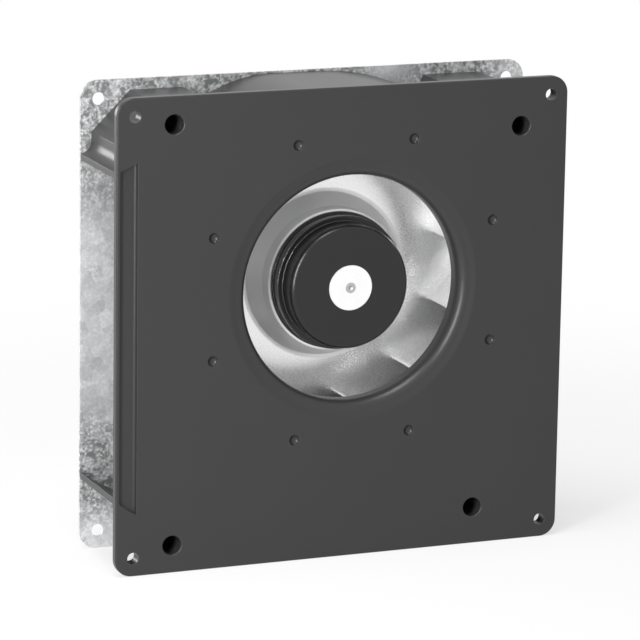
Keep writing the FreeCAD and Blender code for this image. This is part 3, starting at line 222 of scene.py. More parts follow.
class Finish(NodeSheet):
    """A material with one principled surface."""

    # Numbers of the Mix node's colour sockets, which share their names with its other sockets
    FACTOR, FIRST_COLOUR, SECOND_COLOUR, MIXED_COLOUR = 0, 6, 7, 2

    def __init__(self, name):
        self.material = bpy.data.materials.new(name)
        self.material.use_nodes = True
        super().__init__(self.material.node_tree)
        self.tree.nodes.clear()
        self.where = self.add("ShaderNodeTexCoord", output="Object")

    def noise(self, size, detail=2.0, where=None, twist=0.0):
        """Cloudy noise from 0 to 1 with features of a size in metres, drawn out by a twist."""
        inputs = {"Vector": where or self.where, "Scale": 1 / size, "Detail": detail, "Distortion": twist}
        return self.add("ShaderNodeTexNoise", inputs=inputs)

    def cells(self, size, output="Distance", feature="F1"):
        """Crystal-like cells of a size in metres."""
        inputs = {"Vector": self.where, "Scale": 1 / size}
        return self.add("ShaderNodeTexVoronoi", {"feature": feature}, inputs, output)

    def waves(self, distance, pitch):
        """A wave from -1 to 1 that repeats at each pitch."""
        return (distance * (math.tau / pitch)).math("SINE")

    def ridges(self, distance, pitch):
        """A wave from 0 to 1 that repeats at each pitch."""
        return self.waves(distance, pitch) * 0.5 + 0.5

    def mixed(self, factor, first, second):
        """A mix of two colours, each a field or a fixed colour."""
        first, second = [end if isinstance(end, Field) else opaque(end) for end in (first, second)]
        inputs = {self.FACTOR: factor, self.FIRST_COLOUR: first, self.SECOND_COLOUR: second}
        return self.add("ShaderNodeMix", {"data_type": "RGBA"}, inputs, self.MIXED_COLOUR)

    def two_tone(self, factor, colour, dark, pale):
        """The colour, between a darker and a paler gain of itself."""
        return self.mixed(factor, gained(colour, dark), gained(colour, pale))

    def soft_edges(self, radius):
        """A normal that looks as if edges were rounded to a radius."""
        return self.add("ShaderNodeBevel", {"samples": 4}, {"Radius": radius})

    def patchy_edges(self, radius, patches=4 * MM):
        """1 along edges, broken up in patches: the moulding's painted edge highlight, the coat's worn and
        highlit edges and the zinc's darker edges.
        """
        flat = self.add("ShaderNodeNewGeometry", output="Normal")
        turned = 1 - self.pair("DOT_PRODUCT", flat, self.soft_edges(radius))
        return self.ramp(turned * (0.5 + self.noise(patches, detail=3.0)), low=0.02, high=0.16)

    def bump(self, height, depth, normal=None):
        """A normal that follows a height from 0 to 1, which is depth metres high."""
        inputs = {"Height": height, "Distance": depth, "Strength": 1.0}
        if normal:
            inputs["Normal"] = normal
        return self.add("ShaderNodeBump", inputs=inputs)

    def surface(self, colour, roughness, normal, metallic=0.0, shine=0.5, coat=0.0):
        """Ends the material in a Principled surface."""
        inputs = {
            "Base Color": colour,
            "Roughness": roughness,
            "Normal": normal,
            "Metallic": metallic,
            "Specular IOR Level": shine,
            "Coat Weight": coat,
        }
        shader = self.add("ShaderNodeBsdfPrincipled", inputs=inputs)
        self.add("ShaderNodeOutputMaterial", inputs={"Surface": shader})
        return self.material

    def round_the_axis(self):
        """The distance from the impeller's axis and the angle about it."""
        x, _, z = self.parts(self.where)
        across, up = x - AXIS.x, z - AXIS.z
        return (across * across + up * up).math("SQRT"), up.math("ARCTAN2", across)

    def turning_marks(self, pitch, detail=2.0):
        """Fine rings round the axis, as a lathe leaves them on faces and shoulders."""
        radius, _ = self.round_the_axis()
        depth = self.parts(self.where)[1]
        return self.noise(pitch, detail, self.vector(radius, depth, 0.0))


def opaque(colour):
    """The colour with full opacity, as a colour socket takes it."""
    return (*colour[:3], 1.0)


def gained(colour, gain):
    """The colour, brighter or darker by a factor."""
    return tuple(min(1.0, channel * gain) for channel in colour[:3])


# Finishes

def inlet_forms(finish, look):
    """A normal that softens the brim of the inlet's lip and hollows each dimple's floor to a cup."""
    radius, angle = finish.round_the_axis()
    brim = finish.ramp(radius, look.inlet_rim - look.brim_inside, look.inlet_rim + look.brim_outside)
    brimmed = finish.bump(brim, depth=look.brim_height, normal=finish.soft_edges(0.4 * MM))
    step = math.tau / look.dimple_count
    aside = ((angle / step).math("FRACT") - 0.5) * step * look.dimple_circle
    outwards = radius - look.dimple_circle
    away = (aside * aside + outwards * outwards).math("SQRT")
    share = (away / look.dimple_radius).math("MINIMUM", 1.0)
    return finish.bump(share * share, depth=look.cup_depth, normal=brimmed)


def moulded_plastic(look):
    """Satin dark moulding with a fine spark-eroded grain, faint clouds of flow and a painted highlight
    along its edges.
    """
    finish = Finish("moulded_plastic")
    clouds = finish.noise(90 * MM, detail=3.0)
    grain = finish.noise(look.grain, detail=3.0)
    pits = finish.cells(look.grain * 2.5)
    moulded = finish.two_tone(blend((0.6, clouds), (0.4, grain)), look.colour, dark=0.86, pale=1.16)
    # Painted highlight: the edges are painted up to four times paler, in patches, as if they caught the
    # light
    worn_and_highlit = look.edge_wear_and_highlight * finish.patchy_edges(0.35 * MM)
    relief = blend((0.7, grain), (0.3, pits))
    return finish.surface(
        colour=finish.mixed(worn_and_highlit, moulded, gained(look.colour, gain=4.0)),
        roughness=swung(look.roughness, (0.1, grain), (0.06, clouds)),
        normal=finish.bump(relief, depth=look.grain_depth, normal=inlet_forms(finish, look)),
        shine=look.shine,
    )


def zinc_stains_and_shade(finish, bloom):
    """1 where the zinc is stained here and there where it bloomed, and at the listed patches, the
    lower-left one partly painted shade.
    """
    stains_and_shade = finish.ramp(bloom, low=0.58, high=0.8)
    for right, above, reach in STAINS_AND_SHADE:
        centre = (CAD_LOW.x + right * MM, STAIN_AND_SHADE_DEPTH, CAD_LOW.z + above * MM)
        away = finish.pair("DISTANCE", finish.where, centre)
        near = 1 - finish.ramp(away, low=reach * MM * 0.3, high=reach * MM)
        stains_and_shade = stains_and_shade.math("MAXIMUM", near)
    return stains_and_shade


def galvanised(look):
    """Zinc spangle of soft crystals, with speckled stains, a speckled patch of painted shade at the lower
    left and darker edges.
    """
    finish = Finish("galvanised_sheet")
    crystal = finish.parts(finish.cells(look.spangle, "Color"))[0]
    seams = finish.ramp(finish.cells(look.spangle, feature="DISTANCE_TO_EDGE"), low=0.0, high=0.12)
    bloom = finish.noise(30 * MM, detail=4.0)
    mottle = finish.noise(look.mottle, detail=8.0, twist=0.5)
    specks = finish.noise(look.mottle * 0.3, detail=3.0)
    stains_and_shade = zinc_stains_and_shade(finish, bloom)
    blotch = finish.ramp(blend((0.55, mottle), (0.45, specks)), low=0.41, high=0.55)
    flakes = finish.ramp(blend((0.3, mottle), (0.7, specks)), low=0.54, high=0.6)
    glint = flakes * (0.25 + 0.75 * stains_and_shade)
    # The stains and the painted shade also darken the clean zinc and gather the bright flakes
    tone = swung(0.4, (0.36, crystal), (0.5, bloom), (0.3, specks)) + 0.6 * glint - 0.45 * stains_and_shade
    clean = finish.two_tone(tone, look.colour, dark=0.74, pale=1.24)
    dark = (0.1 + 0.9 * stains_and_shade) * (1 - blotch) * look.stain_and_shade
    # The zinc is also darker in a patchy band along the sheet's edges
    dark = dark.math("MAXIMUM", 0.7 * finish.patchy_edges(0.4 * MM))
    relief = blend((0.5, mottle), (0.3, specks), (0.2, seams))
    return finish.surface(
        colour=finish.mixed(dark, clean, gained(look.colour, gain=0.2)),
        metallic=look.metallic,
        roughness=swung(look.roughness, (0.12, crystal)) + 0.2 * dark,
        normal=finish.bump(relief, depth=0.08 * MM, normal=finish.soft_edges(0.15 * MM)),
    )


def bright_sheet(look):
    """Pale rolled sheet with a mill grain and drawing marks round the axis, duller at the collar."""
    finish = Finish("bright_sheet")
    radius, _ = finish.round_the_axis()
    rings = finish.noise(0.5 * MM, where=finish.vector(radius, 0.0, 0.0))
    grain = finish.noise(0.35 * MM, detail=3.0)
    clouds = finish.noise(22 * MM, detail=3.0)
    drawn = 1 - finish.ramp(radius, look.collar_radius - 1 * MM, look.collar_radius + 1 * MM)
    tone = blend((0.4, grain), (0.35, rings), (0.25, clouds))
    relief = blend((0.6, grain), (0.4, rings))
    return finish.surface(
        colour=finish.two_tone(tone, look.colour, dark=0.86, pale=1.1),
        metallic=look.metallic - look.dullness * drawn,
        roughness=swung(look.roughness + look.dullness * drawn, (0.12, grain), (0.1, clouds)),
        normal=finish.bump(relief, depth=0.006 * MM, normal=finish.soft_edges(0.2 * MM)),
    )


def black_coat(look):
    """Thin black coat over turned steel: the turning marks show as fine rings, and bare steel shows at the
    edges, partly as wear and partly as a painted highlight.
    """
    finish = Finish("black_coat")
    rings = finish.turning_marks(0.28 * MM)
    orange_peel = finish.noise(1.6 * MM)
    coated = finish.two_tone(rings, look.colour, dark=0.8, pale=1.25)
    # Bare steel at the edges: partly worn coat, partly a painted highlight for the bright lines along the
    # rotor's steps
    worn_and_highlit = look.edge_wear_and_highlight * finish.patchy_edges(0.3 * MM, patches=8 * MM)
    relief = blend((0.6, rings), (0.4, orange_peel))
    return finish.surface(
        colour=finish.mixed(worn_and_highlit, coated, BARE_STEEL_AND_HIGHLIGHT),
        metallic=worn_and_highlit,
        roughness=swung(look.roughness, (0.12, rings), (0.05, orange_peel)),
        normal=finish.bump(relief, depth=0.012 * MM, normal=finish.soft_edges(0.6 * MM)),
        shine=look.shine,
    )


def turned_metal(name, colour, roughness, metallic=0.9, pitch=0.22 * MM, marks=0.01 * MM):
    """Metal turned about the impeller's axis, with fine ring marks."""
    finish = Finish(name)
    rings = finish.turning_marks(pitch, detail=1.0)
    clouds = finish.noise(6 * MM)
    return finish.surface(
        colour=finish.two_tone(blend((0.6, rings), (0.4, clouds)), colour, dark=0.86, pale=1.12),
        metallic=metallic,
        roughness=swung(roughness, (0.1, rings), (0.08, clouds)),
        normal=finish.bump(rings, depth=marks, normal=finish.soft_edges(0.15 * MM)),
    )


def plated_metal(name, colour, roughness, grain=0.4 * MM):
    """Plated steel with a slightly uneven tone and a fine grain."""
    finish = Finish(name)
    clouds = finish.noise(2.5 * MM, detail=3.0)
    specks = finish.noise(grain)
    return finish.surface(
        colour=finish.two_tone(blend((0.6, clouds), (0.4, specks)), colour, dark=0.75, pale=1.2),
        metallic=0.9,
        roughness=swung(roughness, (0.14, specks)),
        normal=finish.bump(specks, depth=0.008 * MM, normal=finish.soft_edges(0.12 * MM)),
    )


def cast_metal(name, colour, roughness):
    """Die-cast alloy: a matt sandy skin with flow clouds."""
    finish = Finish(name)
    skin = finish.noise(0.5 * MM, detail=4.0)
    flow = finish.noise(9 * MM, detail=3.0)
    return finish.surface(
        colour=finish.two_tone(blend((0.5, skin), (0.5, flow)), colour, dark=0.78, pale=1.15),
        metallic=0.8,
        roughness=swung(roughness, (0.15, skin)),
        normal=finish.bump(skin, depth=0.03 * MM, normal=finish.soft_edges(0.3 * MM)),
    )


def stacked_steel(colour):
    """The edges of the stator's laminations, half a millimetre each."""
    finish = Finish("stacked_steel")
    sheets = finish.ridges(finish.parts(finish.where)[1], pitch=0.5 * MM)
    specks = finish.noise(0.6 * MM, detail=3.0)
    return finish.surface(
        colour=finish.two_tone(blend((0.7, sheets), (0.3, specks)), colour, dark=0.55, pale=1.2),
        metallic=0.85,
        roughness=swung(0.42, (0.12, specks)),
        normal=finish.bump(sheets, depth=0.05 * MM),
    )


def enamelled_copper(colour):
    """Wire wound side by side, each turn about a third of a millimetre thick."""
    finish = Finish("enamelled_copper")
    radius, _ = finish.round_the_axis()
    turns = finish.ridges(radius, pitch=0.34 * MM)
    uneven = finish.noise(1.2 * MM)
    return finish.surface(
        colour=finish.two_tone(blend((0.7, turns), (0.3, uneven)), colour, dark=0.5, pale=1.25),
        metallic=0.75,
        roughness=swung(0.3, (0.1, uneven)),
        normal=finish.bump(turns, depth=0.09 * MM),
        coat=0.4,
    )


def plain_polymer(name, colour, roughness, grain, depth):
    """Moulded polymer or resin with a fine even grain."""
    finish = Finish(name)
    specks = finish.noise(grain, detail=3.0)
    clouds = finish.noise(grain * 20)
    return finish.surface(
        colour=finish.two_tone(blend((0.5, specks), (0.5, clouds)), colour, dark=0.85, pale=1.15),
        roughness=swung(roughness, (0.12, specks)),
        normal=finish.bump(specks, depth=depth, normal=finish.soft_edges(0.2 * MM)),
    )


def board_resist(colour):
    """Solder resist over a faint woven laminate, with darker tracks round the axis."""
    finish = Finish("board_resist")
    radius, angle = finish.round_the_axis()
    x, _, z = finish.parts(finish.where)
    tracks = finish.waves(radius, pitch=2.2 * MM)
    spokes = finish.waves(angle, pitch=math.tau / 12)
    copper = finish.ramp(tracks + 0.6 * spokes, low=0.35, high=0.5)
    weave = finish.waves(x, pitch=0.7 * MM) * finish.waves(z, pitch=0.7 * MM)
    return finish.surface(
        colour=finish.two_tone(blend((0.75, copper), (0.1, weave)), colour, dark=0.75, pale=1.5),
        roughness=0.32 + 0.08 * weave,
        normal=finish.bump(copper, depth=0.035 * MM),
    )


# Settings

def size_setting(name, description, default):
    return bpy.props.FloatProperty(
        name=name, description=description, default=default, unit="LENGTH", precision=5
    )


def share_setting(name, description, default):
    return bpy.props.FloatProperty(
        name=name, description=description, default=default, min=0.0, max=1.0, subtype="FACTOR"
    )


def angle_setting(name, description, degrees):
    return bpy.props.FloatProperty(
        name=name, description=description, default=math.radians(degrees), subtype="ANGLE", unit="ROTATION"
    )


def colour_setting(name, description, default):
    return bpy.props.FloatVectorProperty(
        name=name, description=description, default=default, size=3, min=0.0, max=1.0, subtype="COLOR"
    )


def power_setting(name, description, default):
    return bpy.props.FloatProperty(
        name=name, description=description, default=default, min=0.0, unit="POWER"
    )


def count_setting(name, description, default):
    return bpy.props.IntProperty(name=name, description=description, default=default, min=1)


class MouldingSettings(bpy.types.PropertyGroup):
    """The moulded front housing and its scroll wall"""

    colour: colour_setting("Colour", "Colour of the moulded housing", (0.031, 0.031, 0.0315))
    roughness: share_setting("Roughness", "Roughness of the moulded housing", 0.33)
    shine: share_setting("Shine", "Strength of the moulding's reflections", 0.34)
    # How strong the painted highlight along the moulding's edges is
    edge_wear_and_highlight: share_setting("Wear", "How pale the moulding's edges are rubbed", 0.65)
    grain: size_setting("Grain", "Width of the moulding's surface grain", 0.45 * MM)
    grain_depth: size_setting("Grain Depth", "Height of the moulding's surface grain", 0.012 * MM)
    inlet_rim: size_setting("Inlet Rim", "Radius where the inlet's rounded lip starts", 58.1 * MM)
    brim_inside: size_setting("Brim Inside", "How far inside that radius the brim starts", 1.0 * MM)
    brim_outside: size_setting("Brim Outside", "How far outside that radius the brim ends", 3.2 * MM)
    brim_height: size_setting("Brim Height", "How deep the brim looks", 1.3 * MM)
    dimple_count: count_setting("Dimples", "Number of dimples round the inlet", 8)
    dimple_circle: size_setting("Dimple Circle", "Radius of the ring of dimples", 74.2 * MM)
    dimple_radius: size_setting("Dimple Radius", "Radius of a dimple", 2.5 * MM)
    cup_depth: size_setting("Cup Depth", "How deep a dimple's floor looks", 1.6 * MM)


class SheetSettings(bpy.types.PropertyGroup):
    """The galvanised back sheet"""

    colour: colour_setting("Zinc", "Colour of the galvanised back sheet", (0.73, 0.74, 0.75))
    metallic: share_setting("Metallic", "How metallic the zinc looks", 0.35)
    roughness: share_setting("Roughness", "Roughness of the zinc", 0.42)
    spangle: size_setting("Spangle", "Width of a zinc crystal", 6.0 * MM)
    mottle: size_setting("Mottle", "Width of the spots inside a stain", 4.2 * MM)
    # Strength of the dark spots in the stains and in the painted shade
    stain_and_shade: share_setting("Stain", "Strength of the stains", 0.85)


class ImpellerSettings(bpy.types.PropertyGroup):
    """The impeller's disc, shroud and blades"""

    colour: colour_setting("Colour", "Colour of the impeller's sheet", (0.96, 0.96, 0.965))
    metallic: share_setting("Metallic", "How metallic the impeller looks", 0.92)
    roughness: share_setting("Roughness", "Roughness of the impeller's sheet", 0.27)
    dullness: share_setting("Dullness", "How much duller the drawn collar is", 0.4)
    collar_radius: size_setting("Collar", "Radius inside which the sheet is drawn to a collar", 40.0 * MM)
    inner_radius: size_setting("Inner Radius", "Radius of the blades' leading edges", 58.4 * MM)
    outer_radius: size_setting("Outer Radius", "Radius of the blades' trailing edges", 79.3 * MM)
    inner_angle: angle_setting("Inner Angle", "Blade angle at the leading edge", 25.0)
    outer_angle: angle_setting("Outer Angle", "Blade angle at the trailing edge", 38.0)
    first_angle: angle_setting("First Blade", "Angle of the first blade's leading edge", 16.2)
    thickness: size_setting("Thickness", "Thickness of a blade", 1.2 * MM)
    eye_radius: size_setting("Eye", "Radius of the shroud's eye", 55.2 * MM)
    bend: size_setting("Shroud Bend", "Radius of the shroud's flare", 5.0 * MM)
    bend_start: size_setting("Bend Start", "Depth where the shroud starts to flare", 12.0 * MM)
    shroud_rim: size_setting("Shroud Rim", "Depth of the shroud at its rim", 19.5 * MM)
    tab_width: size_setting("Tab Width", "Width of the bent tabs that hold a blade", 2.6 * MM)
    tab_height: size_setting("Tab Height", "Thickness of the bent tabs", 0.7 * MM)
    sheet: size_setting("Sheet", "Thickness of the disc and the shroud", 1.0 * MM)
    crease_angle: angle_setting("Crease Angle", "Angle past which a blade's edge stays sharp", 35)


class MotorSettings(bpy.types.PropertyGroup):
    """The motor's rotor, windings and board"""

    colour: colour_setting("Coat", "Colour of the rotor's coat", (0.01, 0.01, 0.0105))
    roughness: share_setting("Roughness", "Roughness of the rotor's coat", 0.22)
    shine: share_setting("Shine", "Strength of the coat's reflections", 0.4)
    # How much bare steel shows at the coat's edges, partly wear and partly a painted highlight
    edge_wear_and_highlight: share_setting("Wear", "How far the coat is rubbed off at the edges", 0.75)
    hub_colour: colour_setting("Hub", "Colour of the hub's metal", (0.93, 0.93, 0.93))
    copper_colour: colour_setting("Copper", "Colour of the enamelled wire", (0.72, 0.32, 0.14))
    board_colour: colour_setting("Board", "Colour of the circuit board's resist", (0.05, 0.2, 0.09))


class StageSettings(bpy.types.PropertyGroup):
    """The camera, the lamps and the floor"""

    lens: bpy.props.FloatProperty(name="Lens", description="Focal length", default=224.8, unit="CAMERA")
    yaw: angle_setting("Yaw", "How far the view is turned to the right", 22.224)
    pitch: angle_setting("Pitch", "How far the view looks down", 12.997)
    roll: angle_setting("Roll", "How far the view is rolled", -0.907)
    key_power: power_setting("Key", "Power of the tall lamp at the front left", 6.4)
    top_power: power_setting("Top", "Power of the lamp overhead", 18.0)
    rim_power: power_setting("Rim", "Power of the lamp behind at the left", 2.4)
    ambient: share_setting("Ambient", "Strength of the even light from all round", 0.25)
    floor_colour: colour_setting("Floor", "Colour of the floor", (0.88, 0.88, 0.88))


# Geometry that follows a rule

class BladeTree:
    """A geometry tree that makes a ring of sheet blades between an impeller's disc and shroud."""

    SIZES = (
        ("Inner Radius", "inner_radius"),
        ("Outer Radius", "outer_radius"),
        ("Inner Angle", "inner_angle"),
        ("Outer Angle", "outer_angle"),
        ("First Angle", "first_angle"),
        ("Thickness", "thickness"),
        ("Eye Radius", "eye_radius"),
        ("Bend", "bend"),
        ("Bend Start", "bend_start"),
        ("Shroud Rim", "shroud_rim"),
        ("Tab Width", "tab_width"),
        ("Tab Height", "tab_height"),
        ("Sheet", "sheet"),
    )

    # Vertices of a blade and of a tab: along the arc, across it and from front to rear
    BLADE_CELLS = (25, 7, 5)
    TAB_CELLS = (7, 5, 2)

    # Where the tabs start and end along the blade's arc
    DISC_TABS = ((0.1, 0.36), (0.64, 0.9))
    SHROUD_TAB = (0.4, 0.66)
    TAB_TAPER = 0.25

    # How near to 0 or 1 a vertex along the arc counts as at the blade's end
    END_MARGIN = 0.001

    def __init__(self, look, count, disc_front, disc_rear, rim_radius, material):
        self.tree = bpy.data.node_groups.new("blade_ring", "GeometryNodeTree")
        self.sheet = NodeSheet(self.tree)
        self.values = {}
        for name, prop in self.SIZES:
            self.take(name, "NodeSocketFloat", getattr(look, prop))
        self.take("Disc Front", "NodeSocketFloat", disc_front)
        self.take("Disc Rear", "NodeSocketFloat", disc_rear)
        self.take("Rim Radius", "NodeSocketFloat", rim_radius)
        self.take("Blade Count", "NodeSocketInt", count)
        self.take("Material", "NodeSocketMaterial", material)
        self.tree.interface.new_socket("Geometry", in_out="OUTPUT", socket_type="NodeSocketGeometry")
        outputs = self.sheet.add("NodeGroupInput", output=NodeSheet.EVERY)
        self.inputs = {field.socket.name: field for field in outputs}
        self.ring()

    def take(self, name, kind, value):
        """Adds a named input to the tree and keeps its value under the socket's identifier."""
        socket = self.tree.interface.new_socket(name, in_out="INPUT", socket_type=kind)
        self.values[socket.identifier] = value

    def given(self, name):
        """The value of a named input, as a field."""
        return self.inputs[name]

    def arc(self):
        """The blade's arc: its radius, its centre and the angles where it starts and ends."""
        inner, outer = self.given("Inner Radius"), self.given("Outer Radius")
        start, end = self.given("Inner Angle"), self.given("Outer Angle")
        spread = outer * end.math("COSINE") - inner * start.math("COSINE")
        radius = (outer * outer - inner * inner) / (2.0 * spread)
        centre_x = inner - radius * start.math("COSINE")
        centre_z = radius * start.math("SINE")
        reach = (centre_x * centre_x + centre_z * centre_z).math("SQRT")

        def turn_at(distance):
            top = radius * radius + reach * reach - distance * distance
            return (top / (2.0 * radius * reach)).math("ARCCOSINE")

        return radius, centre_x, centre_z, -start, turn_at(outer) - turn_at(inner) - start

    def shroud_depth(self, distance):
        """Depth of the shroud's inner face at a distance from the axis."""
        eye, bend = self.given("Eye Radius"), self.given("Bend")
        flare = eye + bend
        short = (flare - distance).math("MAXIMUM", 0.0)
        rise = (bend * bend - short * short).math("MAXIMUM", 0.0).math("SQRT")
        run = (distance - flare).math("MAXIMUM", 0.0)
        corner = self.given("Bend Start") + bend
        slope = (self.given("Shroud Rim") - corner) / (self.given("Rim Radius") - flare)
        return self.given("Bend Start") + rise + run * slope

    def patch(self, counts, placed):
        """A closed box of vertices, moved by placed(along, across, deep), each from 0 to 1."""
        cells = dict(zip(("Vertices X", "Vertices Y", "Vertices Z"), counts))
        cube = self.sheet.add("GeometryNodeMeshCube", inputs={"Size": (1.0, 1.0, 1.0), **cells})
        here = self.sheet.add("GeometryNodeInputPosition")
        along, across, deep = [part + 0.5 for part in self.sheet.parts(here)]
        moved = self.sheet.vector(*placed(along, across, deep))
        return self.sheet.add("GeometryNodeSetPosition", inputs={"Geometry": cube, "Position": moved})

    def blade(self):
        """A sheet blade on the arc with rounded ends, from the shroud to the disc."""
        radius, centre_x, centre_z, first, last = self.arc()
        thickness = self.given("Thickness")

        def placed(along, across, deep):
            swing = 2.0 * across - 1.0
            roundness = (1.0 - swing * swing).math("MAXIMUM", 0.0).math("SQRT")
            at_start = along.math("LESS_THAN", self.END_MARGIN)
            at_end = along.math("GREATER_THAN", 1.0 - self.END_MARGIN)
            nose = roundness * (at_end - at_start) * thickness / (2.0 * radius)
            angle = first + (last - first) * along + nose
            distance = radius + (0.5 - across) * thickness
            x = centre_x + distance * angle.math("COSINE")
            z = centre_z + distance * angle.math("SINE")
            from_axis = (x * x + z * z).math("SQRT")
            front = self.shroud_depth(from_axis)
            y = front + (self.given("Disc Front") - front) * deep
            return x, y, z

        return self.patch(self.BLADE_CELLS, placed)

    def tab(self, ends, on_shroud):
        """A tab of the blade, pushed through a slot in the sheet and bent flat against it."""
        start, end = ends
        radius, centre_x, centre_z, first, last = self.arc()

        def placed(along, across, deep):
            angle = first + (last - first) * (start + (end - start) * along)
            swing = 2.0 * along - 1.0
            taper = 1.0 - self.TAB_TAPER * swing * swing * across
            distance = radius - across * taper * self.given("Tab Width")
            x = centre_x + distance * angle.math("COSINE")
            z = centre_z + distance * angle.math("SINE")
            if on_shroud:
                from_axis = (x * x + z * z).math("SQRT")
                shroud_front = self.shroud_depth(from_axis) - self.given("Sheet")
                y = shroud_front - self.given("Tab Height") * (1.0 - deep)
            else:
                y = self.given("Disc Rear") + self.given("Tab Height") * deep
            return x, y, z

        return self.patch(self.TAB_CELLS, placed)

    def ring(self):
        """Joins one blade with its tabs and sets copies of it round the axis."""
        sheet = self.sheet
        tabs = [self.tab(ends, on_shroud=False) for ends in self.DISC_TABS]
        tabs.append(self.tab(self.SHROUD_TAB, on_shroud=True))
        one = sheet.add("GeometryNodeJoinGeometry", inputs={"Geometry": [self.blade(), *tabs]})
        count = self.given("Blade Count")
        points = sheet.add("GeometryNodePoints", inputs={"Count": count, "Position": (AXIS.x, 0.0, AXIS.z)})
        number = sheet.add("GeometryNodeInputIndex")
        turn = number * math.tau / count - self.given("First Angle")
        copies = sheet.add(
            "GeometryNodeInstanceOnPoints",
            inputs={"Points": points, "Instance": one, "Rotation": sheet.vector(0.0, turn, 0.0)},
        )
        real = sheet.add("GeometryNodeRealizeInstances", inputs={"Geometry": copies})
        paint = {"Geometry": real, "Material": self.given("Material")}
        painted = sheet.add("GeometryNodeSetMaterial", inputs=paint)
        sheet.add("NodeGroupOutput", inputs={"Geometry": painted})


def grown(name, tree, values):
    """The mesh that a geometry tree makes, as a plain object at the origin."""
    host = bpy.data.objects.new(name + "_host", bpy.data.meshes.new(name + "_host"))
    bpy.context.scene.collection.objects.link(host)
    modifier = host.modifiers.new("rule", "NODES")
    modifier.node_group = tree
    for identifier, value in values.items():
        modifier[identifier] = value
    evaluated = host.evaluated_get(bpy.context.evaluated_depsgraph_get())
    mesh = bpy.data.meshes.new_from_object(evaluated)
    bpy.data.objects.remove(host)
    mesh.name = name
    piece = bpy.data.objects.new(name, mesh)
    bpy.context.scene.collection.objects.link(piece)
    return piece


def dress(material, *names):
    """Gives CAD nodes a material."""
    for name in names:
        mesh = frame["nodes"][name].data
        mesh.materials.clear()
        mesh.materials.append(material)


# The studio

def seen_directly(sheet):
    """1 for a ray from the camera, a mirror or glass, which see the white background."""
    camera, glossy, transmission = [
        sheet.add("ShaderNodeLightPath", output=f"Is {kind} Ray")
        for kind in ("Camera", "Glossy", "Transmission")
    ]
    return camera.math("MAXIMUM", glossy).math("MAXIMUM", transmission)


def build_floor(look):
    """A pale floor under the object that keeps its shadow and looks white around it."""
    material = bpy.data.materials.new("studio_floor")
    material.use_nodes = True
    sheet = NodeSheet(material.node_tree)
    sheet.tree.nodes.clear()
    where = sheet.add("ShaderNodeTexCoord", output="Object")
    away = sheet.pair("DISTANCE", where, (0.0, 0.0, CAD_LOW.z))
    faded = sheet.ramp(away, low=FADE_START, high=FADE_END)
    matt = sheet.add("ShaderNodeBsdfDiffuse", inputs={"Color": opaque(look.floor_colour)})
    white = sheet.add("ShaderNodeEmission", inputs={"Color": opaque(WHITE)})
    share = seen_directly(sheet) * (FLOOR_NEAR + (FLOOR_FAR - FLOOR_NEAR) * faded)
    both = sheet.add("ShaderNodeMixShader", inputs={0: share, 1: matt, 2: white})
    sheet.add("ShaderNodeOutputMaterial", inputs={"Surface": both})
    turns = ((-1, -1), (1, -1), (1, 1), (-1, 1))
    corners = [(x * FLOOR_REACH, y * FLOOR_REACH, CAD_LOW.z) for x, y in turns]
    mesh = bpy.data.meshes.new("studio_floor")
    mesh.from_pydata(corners, [], [(0, 1, 2, 3)])
    mesh.materials.append(material)
    floor = bpy.data.objects.new("studio_floor", mesh)
    bpy.context.scene.collection.objects.link(floor)


def build_world(scene, look):
    """Even light from all round; a direct look sees plain white."""
    world = bpy.data.worlds.new("studio_world")
    world.use_nodes = True
    sheet = NodeSheet(world.node_tree)
    sheet.tree.nodes.clear()
    direct = seen_directly(sheet)
    strength = look.ambient + (1.0 - look.ambient) * direct
    light = sheet.add("ShaderNodeBackground", inputs={"Color": opaque(WHITE), "Strength": strength})
    sheet.add("ShaderNodeOutputWorld", inputs={"Surface": light})
    scene.world = world


def add_lamp(name, place, target, size, power):
    """A soft box of a width and height that faces the target."""
    lamp = bpy.data.lights.new(name, "AREA")
    lamp.shape = "RECTANGLE"
    lamp.size, lamp.size_y = size
    lamp.energy = power
    thing = bpy.data.objects.new(name, lamp)
    thing.location = place
    thing.rotation_mode = "QUATERNION"
    thing.rotation_quaternion = (target - place).to_track_quat("-Z", "Y")
    bpy.context.scene.collection.objects.link(thing)


def build_camera(scene, look):
    """The photograph's viewpoint, from the yaw, pitch and roll of its line of sight."""
    forward = Vector((
        math.sin(look.yaw) * math.cos(look.pitch),
        math.cos(look.yaw) * math.cos(look.pitch),
        -math.sin(look.pitch),
    ))
    level = Vector((math.cos(look.yaw), -math.sin(look.yaw), 0.0))
    down = forward.cross(level)
    right = level * math.cos(look.roll) + down * math.sin(look.roll)
    below = down * math.cos(look.roll) - level * math.sin(look.roll)
    camera = bpy.data.cameras.new("photo_camera")
    camera.lens = look.lens
    camera.sensor_width = SENSOR_WIDTH
    camera.clip_end = VIEW_REACH
    thing = bpy.data.objects.new("photo_camera", camera)
    thing.rotation_mode = "QUATERNION"
    thing.rotation_quaternion = Matrix((right, -below, -forward)).transposed().to_quaternion()
    thing.location = CAMERA_PLACE
    scene.collection.objects.link(thing)
    scene.camera = thing


# Operators

class BLOWER_OT_moulding(bpy.types.Operator):
    """Dress the moulded front housing and its scroll wall"""

    bl_idname = "blower.moulding"
    bl_label = "Moulded Housing"

    def execute(self, context):
        dress(moulded_plastic(context.scene.blower_moulding), "front_housing", "scroll_wall")
        return {"FINISHED"}


class BLOWER_OT_back_sheet(bpy.types.Operator):
    """Dress the galvanised back sheet"""

    bl_idname = "blower.back_sheet"
    bl_label = "Galvanised Back"

    def execute(self, context):
        dress(galvanised(context.scene.blower_sheet), "back_sheet")
        return {"FINISHED"}


